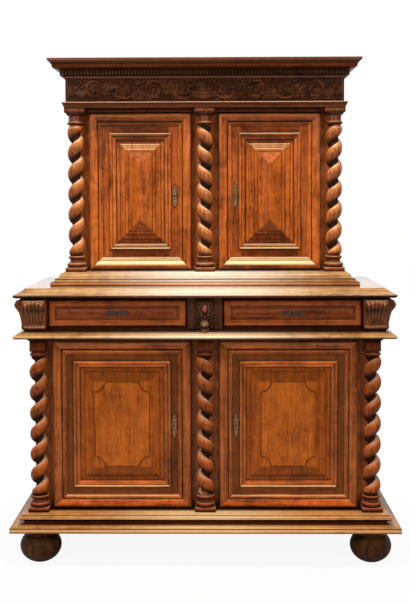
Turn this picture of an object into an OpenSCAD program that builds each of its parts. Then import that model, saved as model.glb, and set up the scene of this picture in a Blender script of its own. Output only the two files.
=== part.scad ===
// A two-part cabinet: a wide lower cupboard with two drawers, and a narrower upper cupboard
// that stands on it. Barley-twist columns flank four moulded doors.
// Millimetres. X to the right, -Y to the front, Z up. The origin is on the floor,
// under the middle of the plinth.

/* [Lower case] */
// Width of the lower case, side to side
case_w = 1424; // [1380:2:1480]
// Depth of the lower case, from its front stiles to its back
case_d = 429; // [410:1:480]
// How far the plinth stands out past each side of the case
plinth_side = 93; // [88:1:110]
// How far the plinth stands out in front of the case
plinth_front = 161; // [154:1:180]
// Height of the bun feet
foot_h = 144; // [120:1:160]
// Widest radius of the bun feet
foot_r = 86; // [70:1:92]
// Height of the plinth moulding
plinth_h = 43; // [38:1:55]
// Thickness of the floor board on the plinth
floor_t = 21; // [19:1:28]
// Height of the lower columns, from the floor board to the waist
lower_column_h = 720; // [690:2:800]
// Thickness of the waist board
waist_t = 47; // [44:1:56]
// Height of the drawer storey
drawer_storey_h = 137; // [130:1:160]
// Thickness of the top board
top_t = 38; // [34:1:48]

/* [Upper case] */
// Width of the upper case, side to side
upper_w = 1144; // [1120:2:1180]
// Depth of the upper case, from its front stiles to its back
upper_d = 299; // [285:1:340]
// Height of the stepped base moulding
base_h = 55; // [50:1:66]
// Height of the upper columns, from the base to the architrave
upper_column_h = 694; // [660:2:760]
// Height of the architrave board
architrave_h = 24; // [22:1:32]
// Height of the frieze
frieze_h = 101; // [90:1:130]
// Height of the cornice
cornice_h = 76; // [70:1:96]

/* [Columns] */
// Radius of the lower twisted shafts
lower_shaft_r = 38.5; // [32:0.5:40]
// Radius of the upper twisted shafts
upper_shaft_r = 35.5; // [30:0.5:38]
// Width of the square blocks under the lower columns
lower_block = 86; // [82:1:90]
// Width of the square blocks under the upper columns
upper_block = 87; // [80:1:90]
// Rise of one turn of the twist on the outer columns
twist_pitch = 87; // [74:0.5:110]
// Rise of one turn of the twist on the centre columns
centre_twist_pitch = 82.5; // [74:0.5:110]
// Depth of the twist's groove, as a share of the shaft's radius
twist_groove = 0.5; // [0.25:0.01:0.56]
// Radius of the dowels that hold each column
dowel_r = 9; // [6:0.5:11]

/* [Doors] */
// Gap between the two doors of a case
door_meeting = 116; // [100:1:124]
// Thickness of the door frames
door_t = 28; // [25:1:34]
// Width of the door stiles and rails
door_stile = 96; // [90:1:104]
// Height of the broad outer moulding above the door frame
moulding_rise = 12; // [9:0.5:14]
// Radius of the door's pivot pins
pin_r = 4; // [3:0.5:5]
// How far a door may swing, in degrees
door_swing = 90; // [60:1:90]

/* [Drawers] */
// Height of the drawer fronts
drawer_h = 112; // [104:1:120]
// Thickness of the drawer fronts
drawer_front_t = 24; // [20:1:28]
// Depth of the drawer boxes behind their fronts
drawer_box_d = 400; // [330:2:420]

/* [Boards] */
// Thickness of the side frames
side_t = 30; // [26:1:36]
// Thickness of the back frames
back_t = 22; // [20:1:28]
// Thickness of the front stiles of both cases
stile_t = 26; // [24:1:32]
// Thickness of the shelves
shelf_t = 18; // [15:1:24]
// Thickness of the loose panels in the frames
panel_t = 8; // [7:1:10]

/* [Locks] */
// Width of the lock cases
lock_w = 70; // [64:1:80]
// Height of the lock cases
lock_h = 84; // [74:1:100]
// Depth of the lock cases behind the wood
lock_t = 15; // [13:1:18]
// Height of the lock bolts
bolt_h = 18; // [12:1:22]
// How far a bolt travels
bolt_throw = 8; // [5:0.5:10]

/* [Hidden] */
$fn = 48;

// Clearances
glue_line = 0.2;
pin_play = 0.05;
seat_play = 0.3;
door_play = 4;
drawer_play = 2;

// Plan: half widths, and the front and back planes
half_case = case_w / 2;
half_plinth = half_case + plinth_side;
overall_d = case_d + plinth_front;
back_y = overall_d / 2;
plinth_y = -overall_d / 2;
lower_y = back_y - case_d;
upper_y = back_y - upper_d;
half_upper = upper_w / 2;

// Levels, from the floor up
plinth_z = foot_h;
floor_z = plinth_z + plinth_h;
case_z = floor_z + floor_t;
waist_z = case_z + lower_column_h;
storey_z = waist_z + waist_t;
top_z = storey_z + drawer_storey_h;
base_z = top_z + top_t;
upper_z = base_z + base_h;
architrave_z = upper_z + upper_column_h;
frieze_z = architrave_z + architrave_h;
cornice_z = frieze_z + frieze_h;
overall_h = cornice_z + cornice_h;

// Column places
lower_column_in = 15;
lower_column_x = half_case - lower_column_in;
lower_column_y = lower_y - lower_block / 2;
upper_column_in = 22;
upper_column_x = half_upper - upper_column_in;
upper_column_y = upper_y - upper_block / 2;
dowel_l = 14;

// Door places: x0 is the meeting edge, x1 the hinge edge
door_x0 = door_meeting / 2;
door_lap = 16;
column_gap_lower = 13;
column_gap_upper = 11;
lower_x1 = lower_column_x - lower_block / 2 - column_gap_lower;
upper_x1 = upper_column_x - upper_block / 2 - column_gap_upper;
door_back_gap = 4;
lower_door_z0 = case_z + door_play;
lower_door_z1 = waist_z - 5;
head_rail_h = 15;
upper_door_z0 = upper_z + door_play;
upper_door_z1 = architrave_z - head_rail_h - 3;
pin_in = 11;
pin_back = 7;
pin_grip = 40;
pin_seat = 12;
stile_x0 = door_x0 + door_lap;

// Locks and keyholes, measured from the door's meeting edge
key_in = 72;
lock_in = 19;
key_r = 3.5;
bolt_t = 6;
bolt_l = 46;
plate_t = 2.5;

// Drawer places
drawer_x0 = 78;
drawer_x1 = half_case - 64;
drawer_z0 = storey_z + 12;
drawer_z1 = drawer_z0 + drawer_h;
drawer_y = lower_y - 76;
drawer_side_t = 12;
drawer_bottom_t = 8;
runner_t = 12;
storey_side_half = half_case + 22;
storey_side_t = 24;

walnut = [0.42, 0.20, 0.09];
walnut_light = [0.62, 0.34, 0.14];
walnut_dark = [0.24, 0.11, 0.06];
honey = [0.72, 0.45, 0.20];
oak = [0.58, 0.42, 0.26];
iron = [0.25, 0.23, 0.21];
brass = [0.62, 0.50, 0.28];

// Points of an arc in the plane of an outline, from angle a0 to a1 in n steps
function arc(cx, cy, r, a0, a1, n) =
    [for (i = [0:n]) let (a = a0 + (a1 - a0) * i / n) [cx + r * cos(a), cy + r * sin(a)]];

function reversed(list) = [for (i = [len(list) - 1:-1:0]) list[i]];

// A box from one corner to the other
module block(a, b) {
    translate(a) cube(b - a);
}

// A slab whose front and two ends carry one edge outline, while its back stays straight.
// pts lists [inset from the widest line, height] from the bottom up.
module moulded_slab(half_w, y_front, pts) {
    z0 = pts[0][1];
    z1 = pts[len(pts) - 1][1];
    intersection() {
        rotate([90, 0, 0])
            linear_extrude(height = 2 * half_w, center = true)
                polygon(concat([for (p = pts) [half_w - p[0], p[1]]],
                    [for (p = reversed(pts)) [p[0] - half_w, p[1]]]));
        rotate([90, 0, 90])
            linear_extrude(height = 2 * half_w + 2, center = true)
                polygon(concat([for (p = pts) [y_front + p[0], p[1]]], [[back_y, z1], [back_y, z0]]));
    }
}

// A solid on a w by h rectangle in X and Z whose four edges carry one outline.
// pts lists [inset, y] in order of y; the solid is a rectangle at each y.
module inset_solid(w, h, pts) {
    intersection() {
        translate([0, 0, -1])
            linear_extrude(height = h + 2)
                polygon(concat([for (p = pts) [p[0], p[1]]], [for (p = reversed(pts)) [w - p[0], p[1]]]));
        translate([-1, 0, 0])
            rotate([90, 0, 90])
                linear_extrude(height = w + 2)
                    polygon(concat([for (p = pts) [p[1], p[0]]], [for (p = reversed(pts)) [p[1], h - p[0]]]));
    }
}

// A mitred ring of moulding on the plane y = 0, rising towards -Y
module moulding_ring(w, h, outer, inner) {
    crown = inner[0][1] - 1;
    root = 1;
    difference() {
        inset_solid(w, h, outer);
        inset_solid(w, h, concat([[inner[0][0], crown]], inner, [[inner[len(inner) - 1][0], root]]));
    }
}

// A frame of stiles and rails in X and Z with its thickness t along +Y, and a loose panel
// in each window. bays is the number of windows side by side, floors the number above each other.
module framed_wall(w, h, t, stile, rail, bays, floors, raise) {
    tenon = 24;
    tenon_t = t / 3;
    groove = 8;
    bay_w = (w - 2 * stile - (bays - 1) * stile) / bays;
    floor_h = (h - (floors + 1) * rail) / floors;
    rail_w = w - 2 * stile;
    module panel_space(i, j, grow) {
        x = stile + i * (bay_w + stile);
        z = rail + j * (floor_h + rail);
        block([x - groove - grow, t / 2 - panel_t / 2 - grow, z - groove - grow],
            [x + bay_w + groove + grow, t / 2 + panel_t / 2 + grow, z + floor_h + groove + grow]);
    }
    module all_panel_spaces() {
        for (i = [0:bays - 1], j = [0:floors - 1])
            panel_space(i, j, glue_line);
    }
    // The two outer stiles, with a mortise for each rail
    for (s = [0, 1])
        difference() {
            translate([s * (w - stile), 0, 0]) cube([stile, t, h]);
            all_panel_spaces();
            for (k = [0:floors])
                block([stile - tenon - glue_line, t / 2 - tenon_t / 2 - glue_line,
                        k * (floor_h + rail) + rail * 0.2 - glue_line],
                    [w - stile + tenon + glue_line, t / 2 + tenon_t / 2 + glue_line,
                        k * (floor_h + rail) + rail * 0.8 + glue_line]);
        }
    // The rails, each with a tenon at either end
    for (k = [0:floors])
        difference() {
            union() {
                translate([stile + glue_line, 0, k * (floor_h + rail)])
                    cube([rail_w - 2 * glue_line, t, rail]);
                block([stile - tenon, t / 2 - tenon_t / 2, k * (floor_h + rail) + rail * 0.2],
                    [w - stile + tenon, t / 2 + tenon_t / 2, k * (floor_h + rail) + rail * 0.8]);
            }
            all_panel_spaces();
        }
    // The muntins between windows
    if (bays > 1)
        for (i = [1:bays - 1], j = [0:floors - 1])
            difference() {
                translate([stile + i * bay_w + (i - 1) * stile, 0, rail + j * (floor_h + rail) + glue_line])
                    cube([stile, t, floor_h - 2 * glue_line]);
                all_panel_spaces();
            }
    // The panels, with a raised field on the outside
    for (i = [0:bays - 1], j = [0:floors - 1]) {
        x = stile + i * (bay_w + stile);
        z = rail + j * (floor_h + rail);
        field_in = 22;
        bevel = 14;
        panel_space(i, j, 0);
        if (raise > 0)
            translate([x + field_in, t / 2 - panel_t / 2, z + field_in])
                inset_solid(bay_w - 2 * field_in, floor_h - 2 * field_in,
                    [[bevel, -raise], [0, 0], [0, 1]]);
    }
}

// The feet: a flattened ball with a neck and a peg that enters the plinth
foot_x = half_plinth - 113;
foot_y = back_y - 97;
foot_squash = foot_h / 144;
foot_peg_r = 20;
foot_peg_l = 26;
module bun_foot() {
    ball_z = 66 * foot_squash;
    ball_h = 70 * foot_squash;
    neck_r = foot_r * 0.72;
    a0 = -asin(ball_z / ball_h);
    a1 = 45;
    outline = [for (i = [0:14]) let (a = a0 + (a1 - a0) * i / 14)
        [foot_r * cos(a), ball_z + ball_h * sin(a)]];
    rotate_extrude()
        polygon(concat([[0, 0]], outline, [[neck_r, foot_h - 12], [neck_r, foot_h],
            [foot_peg_r, foot_h], [foot_peg_r, foot_h + foot_peg_l], [0, foot_h + foot_peg_l]]));
}

module bun_feet() {
    color(walnut_dark)
        for (x = [-foot_x, foot_x], y = [-foot_y, foot_y])
            translate([x, y, 0]) bun_foot();
}

// The plinth: four moulded rails, mitred at the corners, with corner blocks over the feet
plinth_rail = 70;
corner_block = 120;
function plinth_edge() = concat(
    [[0, plinth_z], [0, plinth_z + 18], [3, plinth_z + 19.5], [40, plinth_z + 25]],
    [for (i = [1:5]) [40 + 12 * sin(30 * i), plinth_z + 25 + (plinth_h - 25) * i / 6]],
    [[40, floor_z]]);

// Cuts a ring of moulding into a front rail and two side rails, mitred at the corners
module mitred_rails(half_w, y_front, depth) {
    w = half_w + 5;
    f = y_front - 5;
    d = depth + 5;
    for (side = [-1, 0, 1])
        intersection() {
            children();
            translate([0, 0, -5])
                linear_extrude(height = overall_h + 10)
                    polygon(side == 0
                        ? [[-w, f], [w, f], [w - d, f + d], [d - w, f + d]]
                        : [[side * w, f + glue_line], [side * w, back_y + 5],
                            [side * (w - d), back_y + 5], [side * (w - d), f + d + glue_line]]);
        }
}

// A ring of moulding: a moulded slab with its middle taken out
module moulded_ring(half_w, y_front, rail, pts) {
    difference() {
        moulded_slab(half_w, y_front, pts);
        block([rail - half_w, y_front + rail, pts[0][1] - 1],
            [half_w - rail, back_y + 1, pts[len(pts) - 1][1] + 1]);
    }
}

module plinth_frame() {
    inner = half_plinth - plinth_rail - glue_line;
    color(honey) {
        mitred_rails(half_plinth, plinth_y, plinth_rail)
            moulded_ring(half_plinth, plinth_y, plinth_rail, plinth_edge());
        block([-inner, back_y - 26, plinth_z], [inner, back_y, floor_z]);
    }
    color(oak)
        for (x = [-1, 1], y = [-1, 1])
            difference() {
                x0 = x > 0 ? inner - corner_block : -inner;
                y0 = y < 0 ? plinth_y + plinth_rail + glue_line : back_y - 26 - glue_line - corner_block;
                translate([x0, y0, plinth_z]) cube([corner_block, corner_block, foot_peg_l + 8]);
                translate([x * foot_x, y * foot_y, plinth_z - 1])
                    cylinder(r = foot_peg_r + glue_line, h = foot_peg_l + 2);
            }
}

// Bores in the boards for the column dowels and the doors' pivot pins
module column_bores(x, y, z) {
    for (k = [-1, 0, 1])
        translate([k * x, y, z]) cylinder(r = dowel_r + glue_line, h = dowel_l + 2);
}
module pivot_bores(x1, y, z) {
    for (k = [-1, 1])
        translate([k * (x1 - pin_in), y, z]) cylinder(r = pin_r + pin_play, h = pin_seat + 2);
}
lower_door_y = lower_y - door_back_gap - door_t;
upper_door_y = upper_y - door_back_gap - door_t;

// The floor board, with its moulded edge
floor_in = 33;
module lower_floor() {
    hw = half_plinth - floor_in;
    color(honey)
        difference() {
            moulded_slab(hw, plinth_y + floor_in, [[6, floor_z], [0, floor_z + 4], [0, floor_z + 12],
                [3, case_z - 5], [10, case_z - 4], [12, case_z]]);
            column_bores(lower_column_x, lower_column_y, case_z - dowel_l - 1);
            pivot_bores(lower_x1, lower_door_y + pin_back, case_z - pin_seat - 1);
        }
}

// Side walls: framed panels that face outwards, with a cleat for the shelf
cleat_t = 16;
cleat_h = 18;
shelf_in = 12;
lower_shelf_z = case_z + 0.47 * lower_column_h;
upper_shelf_z = upper_z + 0.48 * upper_column_h;
module side_wall(half_w, y_front, z0, h, shelf_z) {
    y0 = y_front + stile_t + glue_line;
    color(walnut)
        translate([-half_w, y0, z0])
            mirror([1, -1, 0])
                framed_wall(back_y - y0, h, side_t, 62, 74, 1, 2, 7);
    color(oak)
        block([-half_w + side_t + glue_line, y0 + shelf_in, shelf_z - cleat_h],
            [-half_w + side_t + cleat_t, back_y - back_t - shelf_in, shelf_z]);
}
module lower_side_left() {
    side_wall(half_case, lower_y, case_z, lower_column_h, lower_shelf_z);
}
module lower_side_right() {
    mirror([1, 0, 0]) side_wall(half_case, lower_y, case_z, lower_column_h, lower_shelf_z);
}
module back_wall(half_w, z0, h) {
    w = 2 * (half_w - side_t - glue_line);
    color(oak)
        translate([w / 2, back_y, z0])
            rotate([0, 0, 180])
                framed_wall(w, h, back_t, 80, 80, 3, 1, 0);
}
module lower_back() {
    back_wall(half_case, case_z, lower_column_h);
}

// Front stiles behind the columns, with pockets for the lock bolts in the centre one
pocket_play = 0.6;
module front_stiles(half_w, x1, y, z0, h, key_z) {
    color(walnut_dark) {
        for (k = [-1, 1])
            mirror([k > 0 ? 1 : 0, 0, 0])
                block([-half_w, y, z0], [door_lap - x1, y + stile_t, z0 + h]);
        difference() {
            block([-stile_x0, y, z0], [stile_x0, y + stile_t, z0 + h]);
            for (k = [-1, 1])
                mirror([k > 0 ? 1 : 0, 0, 0])
                    block([-stile_x0 - 1, y + bolt_back - pocket_play, key_z + bolt_up - pocket_play],
                        [bolt_throw + 2 - stile_x0, y + bolt_back + bolt_t + pocket_play,
                            key_z + bolt_up + bolt_h + pocket_play]);
        }
    }
}
// The bolt's place behind the stile's front face, and above the keyhole
bolt_back = lock_t - door_back_gap - 2 - bolt_t;
bolt_up = 8;
lower_key_h = 350;
upper_key_h = 318;
lower_key_z = lower_door_z0 + lower_key_h;
upper_key_z = upper_door_z0 + upper_key_h;
module lower_front_stiles() {
    front_stiles(half_case, lower_x1, lower_y, case_z, lower_column_h, lower_key_z);
}

module shelf(half_w, y_front, z) {
    color(oak)
        block([-half_w + side_t + seat_play, y_front + stile_t + shelf_in + 18, z],
            [half_w - side_t - seat_play, back_y - back_t - seat_play, z + shelf_t]);
}
module lower_shelf() {
    shelf(half_case, lower_y, lower_shelf_z);
}

// The waist board: a bead and slope on its edge, and a cove underneath
waist_side = 70;
waist_front = 149;
module waist_board() {
    color(honey)
        difference() {
            moulded_slab(half_case + waist_side, lower_y - waist_front, [[64, waist_z], [60, waist_z + 1],
                [51, waist_z + 4], [49, waist_z + 8], [49, waist_z + 13], [24, waist_z + 15],
                [8, waist_z + 16], [2, waist_z + 18], [0, waist_z + 22], [0, waist_z + 27],
                [3, waist_z + 30], [14, storey_z - 13], [30, storey_z - 5], [38, storey_z - 3],
                [40, storey_z]]);
            column_bores(lower_column_x, lower_column_y, waist_z - 1);
            pivot_bores(lower_x1, lower_door_y + pin_back, waist_z - 1);
        }
}

// The drawer storey: sides, back, centre post and divider, runners, guides and top rails
rail_y = drawer_y + 4;
post_half = drawer_x0 - 2;
console_w = 95;
console_half = half_case + 35;
console_y = lower_y - 106;
box_x0 = drawer_x0 + 6;
box_x1 = drawer_x1 - 6;
drawer_top_gap = 2;
module drawer_case() {
    inner = storey_side_half - storey_side_t;
    side_y = console_y + console_w + glue_line;
    back_in = back_y - back_t;
    runner_y = drawer_y + max(drawer_front_t + 1, 34 + glue_line);
    color(walnut) {
        for (k = [0, 1])
            mirror([k, 0, 0])
                block([inner, side_y, storey_z], [storey_side_half, back_y, top_z]);
        block([glue_line - inner, back_in, storey_z], [inner - glue_line, back_y, top_z]);
        block([-post_half, rail_y, storey_z], [post_half, rail_y + 30, top_z]);
    }
    color(oak)
        block([-12, rail_y + 30 + glue_line, storey_z], [12, back_in - glue_line, top_z]);
    for (k = [0, 1])
        mirror([k, 0, 0]) {
            color(walnut_dark)
                difference() {
                    block([post_half + glue_line, rail_y, drawer_z1 + drawer_top_gap],
                        [console_half - console_w - glue_line, rail_y + 50, top_z]);
                    drawer_bolt_pocket();
                }
            color(walnut_dark)
                block([post_half + glue_line, rail_y, storey_z],
                    [console_half - console_w - glue_line, rail_y + 16, drawer_z0 - drawer_play]);
            color(oak) {
                union() {
                    block([box_x1 - 50, runner_y, storey_z],
                        [console_half - console_w - glue_line, back_in - glue_line, drawer_z0]);
                    block([box_x1 - 50, side_y, storey_z],
                        [inner - glue_line, back_in - glue_line, drawer_z0]);
                }
                block([box_x1 + drawer_play, side_y, drawer_z0 + glue_line],
                    [inner - glue_line, back_in - glue_line, drawer_z0 + 34]);
                block([12 + glue_line, runner_y, storey_z],
                    [box_x0 + 34, back_in - glue_line, drawer_z0]);
                block([12 + glue_line, rail_y + 30 + glue_line, drawer_z0 + glue_line],
                    [box_x0 - drawer_play, back_in - glue_line, drawer_z0 + 34]);
            }
        }
}

// Carved consoles at the corners of the drawer storey: a square post with a scroll on two faces
scroll_l = 137;
function scroll_outline(out) = concat(
    [[-1, 3]], arc(0, 12, 9, -80, 50, 5), [[5, 34], [9, 56], [16, 80]],
    arc(out - 22, 108, 22, -30, 78, 8), [[out - 18, scroll_l - 6], [-1, scroll_l - 6]]);
module scroll(width, out) {
    rotate([90, 0, 90])
        linear_extrude(height = width)
            polygon([for (p = scroll_outline(out)) [-p[0], p[1] * drawer_storey_h / scroll_l]]);
}
module corner_consoles() {
    out = 32;
    for (k = [0, 1])
        mirror([k, 0, 0])
            color(walnut_dark)
                union() {
                    block([console_half - console_w, console_y, storey_z],
                        [console_half, console_y + console_w, top_z]);
                    translate([console_half - console_w + 2, console_y, storey_z])
                        scroll(console_w - 4, out);
                    translate([console_half, console_y + 2, storey_z])
                        rotate([0, 0, 90])
                            scroll(console_w - 4, out);
                }
}

// The carved bracket between the drawers: a plate, a keystone scroll and an oval boss
module centre_bracket() {
    plate_y = rail_y - glue_line;
    color(walnut_dark)
        union() {
            block([-post_half + 4, plate_y - 12, storey_z + 3], [post_half - 4, plate_y, top_z - 2]);
            translate([-31, plate_y - 11, storey_z])
                scroll(62, 32);
            translate([0, plate_y - 34, storey_z + 88])
                rotate_extrude()
                    polygon([for (i = [0:12]) let (a = -90 + 15 * i) [15 * cos(a), 25 * sin(a)]]);
        }
}

// The top board of the lower case
top_side = 69;
top_front = 148;
module top_board() {
    color(honey)
        moulded_slab(half_case + top_side, lower_y - top_front, [[10, top_z], [4, top_z + 2], [0, top_z + 7],
            [0, top_z + 12], [5, top_z + 15], [16, top_z + 19], [30, top_z + 27],
            [40, base_z - 3], [42, base_z]]);
}

// A barley-twist shaft: one fat rounded strand winds up a thinner core. It rises to the right as
// seen from the front where dir is 1. phase is the groove's angle at the shaft's foot, and
// strand_share is how much of each turn the strand takes, the rest being the groove.
twist_sides = 18;
twist_steps = 10;
strand_share = 0.74;
module twisted_shaft(h, r, neck, pitch, dir, phase) {
    rings = ceil(h / pitch * twist_steps);
    n = twist_sides;
    points = [for (i = [0:rings], j = [0:n - 1])
        let (z = h * i / rings,
            a = 360 * j / n,
            off = abs(a / 180 - 1) / strand_share,
            full = r * (1 - twist_groove * (1 - sqrt(max(0, 1 - off * off)))),
            e = min(1, min(z, h - z) / (0.3 * pitch)),
            blend = e * e * (3 - 2 * e),
            rr = neck + (full - neck) * blend,
            turn = a + dir * 360 * z / pitch + phase)
        [rr * cos(turn), rr * sin(turn), z]];
    sides = [for (i = [0:rings - 1], j = [0:n - 1])
        let (a = i * n + j, b = i * n + (j + 1) % n, c = b + n, d = a + n)
        each (dir > 0 ? [[a, d, b], [b, d, c]] : [[a, d, c], [a, c, b]])];
    polyhedron(points = points,
        faces = concat(sides, [[for (j = [0:n - 1]) j]], [[for (j = [n - 1:-1:0]) rings * n + j]]),
        convexity = 6);
}

module turned(pts) {
    rotate_extrude()
        polygon(concat([[0, pts[0][1]]], pts, [[0, pts[len(pts) - 1][1]]]));
}

// A column's foot: square block, torus, hollow and ring
base_block_h = 18;
ring_z = 60;
module column_foot(block_w, r) {
    translate([-block_w / 2, -block_w / 2, 0]) cube([block_w, block_w, base_block_h]);
    turned(concat([[block_w / 2 - 4, base_block_h - 4]], arc(block_w / 2 - 11, 28, 10, -90, 90, 8),
        [[r - 5, 42], [r - 7, 47], [r - 4, 54]], arc(r - 5, ring_z, 6, -90, 90, 6),
        [[r - 8, ring_z + 6.5]]));
}

module dowels(h) {
    for (z = [-dowel_l, h - 1])
        translate([0, 0, z]) cylinder(r = dowel_r, h = dowel_l + 1);
}

lower_cap_w = 64;
lower_cap_h = 46;
module lower_column(pitch, dir, phase) {
    h = lower_column_h;
    r = lower_shaft_r;
    top = h - lower_cap_h;
    column_foot(lower_block, r);
    translate([0, 0, ring_z])
        twisted_shaft(top - 14 - ring_z, r, r - 10, pitch, dir, phase);
    turned(concat([[r - 10, top - 20.5]], arc(r - 8, top - 14, 6, -90, 90, 6),
        [[r - 9, top - 6], [r - 9, top + 4]]));
    translate([-lower_cap_w / 2, -lower_cap_w / 2, top]) cube([lower_cap_w, lower_cap_w, lower_cap_h]);
    dowels(h);
}
abacus_h = 20;
module upper_column(pitch, dir, phase) {
    h = upper_column_h;
    r = upper_shaft_r;
    top = h - abacus_h;
    column_foot(upper_block, r);
    translate([0, 0, ring_z])
        twisted_shaft(top - 43 - ring_z, r, r - 9, pitch, dir, phase);
    turned(concat([[r - 9, top - 49.5]], arc(r - 5, top - 43, 6, -90, 90, 6),
        [[r - 5, top - 36], [r - 5, top - 12], [r - 1, top - 10]], arc(r - 1, top, 7, -70, 0, 4),
        [[r + 6, top + 3]]));
    translate([-upper_block / 2, -upper_block / 2, top]) cube([upper_block, upper_block, abacus_h]);
    dowels(h);
}
// The outer columns rise to the right, the centre ones to the left
module lower_column_at(k, phase) {
    color(walnut_light)
        translate([k * lower_column_x, lower_column_y, case_z])
            lower_column(k == 0 ? centre_twist_pitch : twist_pitch, k == 0 ? -1 : 1, phase);
}
module upper_column_at(k, phase) {
    color(walnut_light)
        translate([k * upper_column_x, upper_column_y, upper_z])
            upper_column(k == 0 ? centre_twist_pitch : twist_pitch, k == 0 ? -1 : 1, phase);
}
module lower_column_left() { lower_column_at(-1, 2); }
module lower_column_centre() { lower_column_at(0, 335); }
module lower_column_right() { lower_column_at(1, 341); }
module upper_column_left() { upper_column_at(-1, 332); }
module upper_column_centre() { upper_column_at(0, 165); }
module upper_column_right() { upper_column_at(1, 48); }

// The stepped base of the upper case: mitred rails round a floor panel
base_side = 78;
base_front = 143;
base_rail = 132;
base_panel_t = 18;
module upper_base() {
    hw = half_upper + base_side;
    yf = upper_y - base_front;
    inner = hw - base_rail - glue_line;
    y0 = yf + base_rail + glue_line;
    color(honey)
        difference() {
            mitred_rails(hw, yf, base_rail)
                moulded_ring(hw, yf, base_rail, [[1, base_z], [0, base_z + 3], [0, base_z + 12],
                    [4, base_z + 16], [15, base_z + 17], [16, base_z + 19], [16, base_z + 26],
                    [20, base_z + 30], [31, base_z + 32], [33, base_z + 35], [33, base_z + 40],
                    [38, upper_z - 7], [49, upper_z - 4], [50, upper_z]]);
            column_bores(upper_column_x, upper_column_y, upper_z - dowel_l - 1);
            pivot_bores(upper_x1, upper_door_y + pin_back, upper_z - pin_seat - 1);
        }
    color(oak) {
        block([-inner, back_y - 60, base_z], [inner, back_y, upper_z]);
        block([-inner, y0, upper_z - base_panel_t], [inner, back_y - 60 - glue_line, upper_z]);
    }
}

module upper_side_left() {
    side_wall(half_upper, upper_y, upper_z, upper_column_h, upper_shelf_z);
}
module upper_side_right() {
    mirror([1, 0, 0]) side_wall(half_upper, upper_y, upper_z, upper_column_h, upper_shelf_z);
}
module upper_back() {
    back_wall(half_upper, upper_z, upper_column_h);
}

// Front stiles of the upper case, and the head rails above its doors
head_rail_d = 40;
module upper_front_stiles() {
    front_stiles(half_upper, upper_x1, upper_y, upper_z, upper_column_h, upper_key_z);
    color(walnut_dark)
        for (k = [0, 1])
            mirror([k, 0, 0])
                difference() {
                    block([upper_block / 2 + 2, upper_y - head_rail_d, architrave_z - head_rail_h],
                        [upper_column_x - upper_block / 2 - 2, upper_y - glue_line, architrave_z]);
                    translate([upper_x1 - pin_in, upper_door_y + pin_back, architrave_z - head_rail_h - 1])
                        cylinder(r = pin_r + pin_play, h = pin_seat + 2);
                }
}
module upper_shelf() {
    shelf(half_upper, upper_y, upper_shelf_z);
}

// The architrave: a moulded board that closes the upper case
architrave_side = 30;
architrave_front = 98;
module architrave() {
    color(walnut)
        difference() {
            moulded_slab(half_upper + architrave_side, upper_y - architrave_front,
                [[8, architrave_z], [8, architrave_z + 6], [5, architrave_z + 9],
                    [3, frieze_z - 8], [0, frieze_z - 6], [0, frieze_z]]);
            column_bores(upper_column_x, upper_column_y, architrave_z - 1);
        }
}

// The frieze: plain boards that carry the carving
frieze_side = 12;
frieze_front = 80;
frieze_t = 24;
module frieze() {
    hw = half_upper + frieze_side;
    y0 = upper_y - frieze_front;
    color(walnut_dark) {
        block([-hw, y0, frieze_z], [hw, y0 + frieze_t, cornice_z]);
        for (k = [0, 1])
            mirror([k, 0, 0])
                block([hw - frieze_t, y0 + frieze_t + glue_line, frieze_z], [hw, back_y, cornice_z]);
        block([frieze_t + glue_line - hw, back_y - 18, frieze_z], [hw - frieze_t - glue_line, back_y, cornice_z]);
    }
}

// The cornice: mitred crown moulding with a strip of dentils on three sides and a top panel
cornice_side = 81;
cornice_front = 150;
cornice_rail = 112;
dentil_in = 57;
dentil_strip = 3;
dentil_out = 12;
dentil_h = 20;
dentil_z = 9;
dentil_pitch = 13.2;
dentil_gap = 5.2;
// A comb of dentils along X that stands out to -Y, from the strip's back at y = 0
module dentil_comb(l) {
    n = floor((l - dentil_gap) / dentil_pitch);
    start = (l - n * dentil_pitch - dentil_gap) / 2 + dentil_gap;
    w = dentil_pitch - dentil_gap;
    linear_extrude(height = dentil_h)
        polygon(concat([[l, 0], [0, 0], [0, -dentil_strip]],
            [for (i = [0:n - 1]) let (x = start + i * dentil_pitch)
                each [[x, -dentil_strip], [x, -dentil_out], [x + w, -dentil_out], [x + w, -dentil_strip]]],
            [[l, -dentil_strip]]));
}
module cornice() {
    hw = half_upper + cornice_side;
    yf = upper_y - cornice_front;
    z = cornice_z;
    t = overall_h;
    inner = hw - cornice_rail - glue_line;
    dentil_half = hw - dentil_in;
    comb_y = yf + dentil_in - glue_line;
    color(walnut)
        mitred_rails(hw, yf, cornice_rail)
            moulded_ring(hw, yf, cornice_rail, [[61, z], [61, z + 8], [57, z + dentil_z - 0.5],
                [57, z + dentil_z + dentil_h + 0.5], [46, z + 31], [40, z + 35], [24, z + 37],
                [18, z + 40], [16, t - 24], [13, t - 22], [9, t - 16], [3, t - 10], [0, t - 9], [0, t]]);
    color(walnut_dark)
        translate([0, 0, z + dentil_z]) {
            translate([-dentil_half - dentil_out, comb_y, 0]) dentil_comb(2 * (dentil_half + dentil_out));
            for (k = [0, 1])
                mirror([k, 0, 0])
                    translate([dentil_half + glue_line, comb_y + glue_line + 0.4, 0])
                        rotate([0, 0, 90]) dentil_comb(back_y - comb_y - 1);
        }
    color(oak) {
        block([-inner, back_y - 24, z], [inner, back_y, t]);
        block([-inner, yf + cornice_rail + glue_line, t - 20], [inner, back_y - 24 - glue_line, t - 6]);
    }
}

// Doors. Local frame of every door: x from the hinge edge, y back from the frame's face, z up.
door_tenon = 44;
plate_y0 = 8;
plate_y1 = 20;
groove_l = 12;
lower_door_w = lower_x1 - door_x0;
upper_door_w = upper_x1 - door_x0;
lower_door_h = lower_door_z1 - lower_door_z0;
upper_door_h = upper_door_z1 - upper_door_z0;

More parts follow.
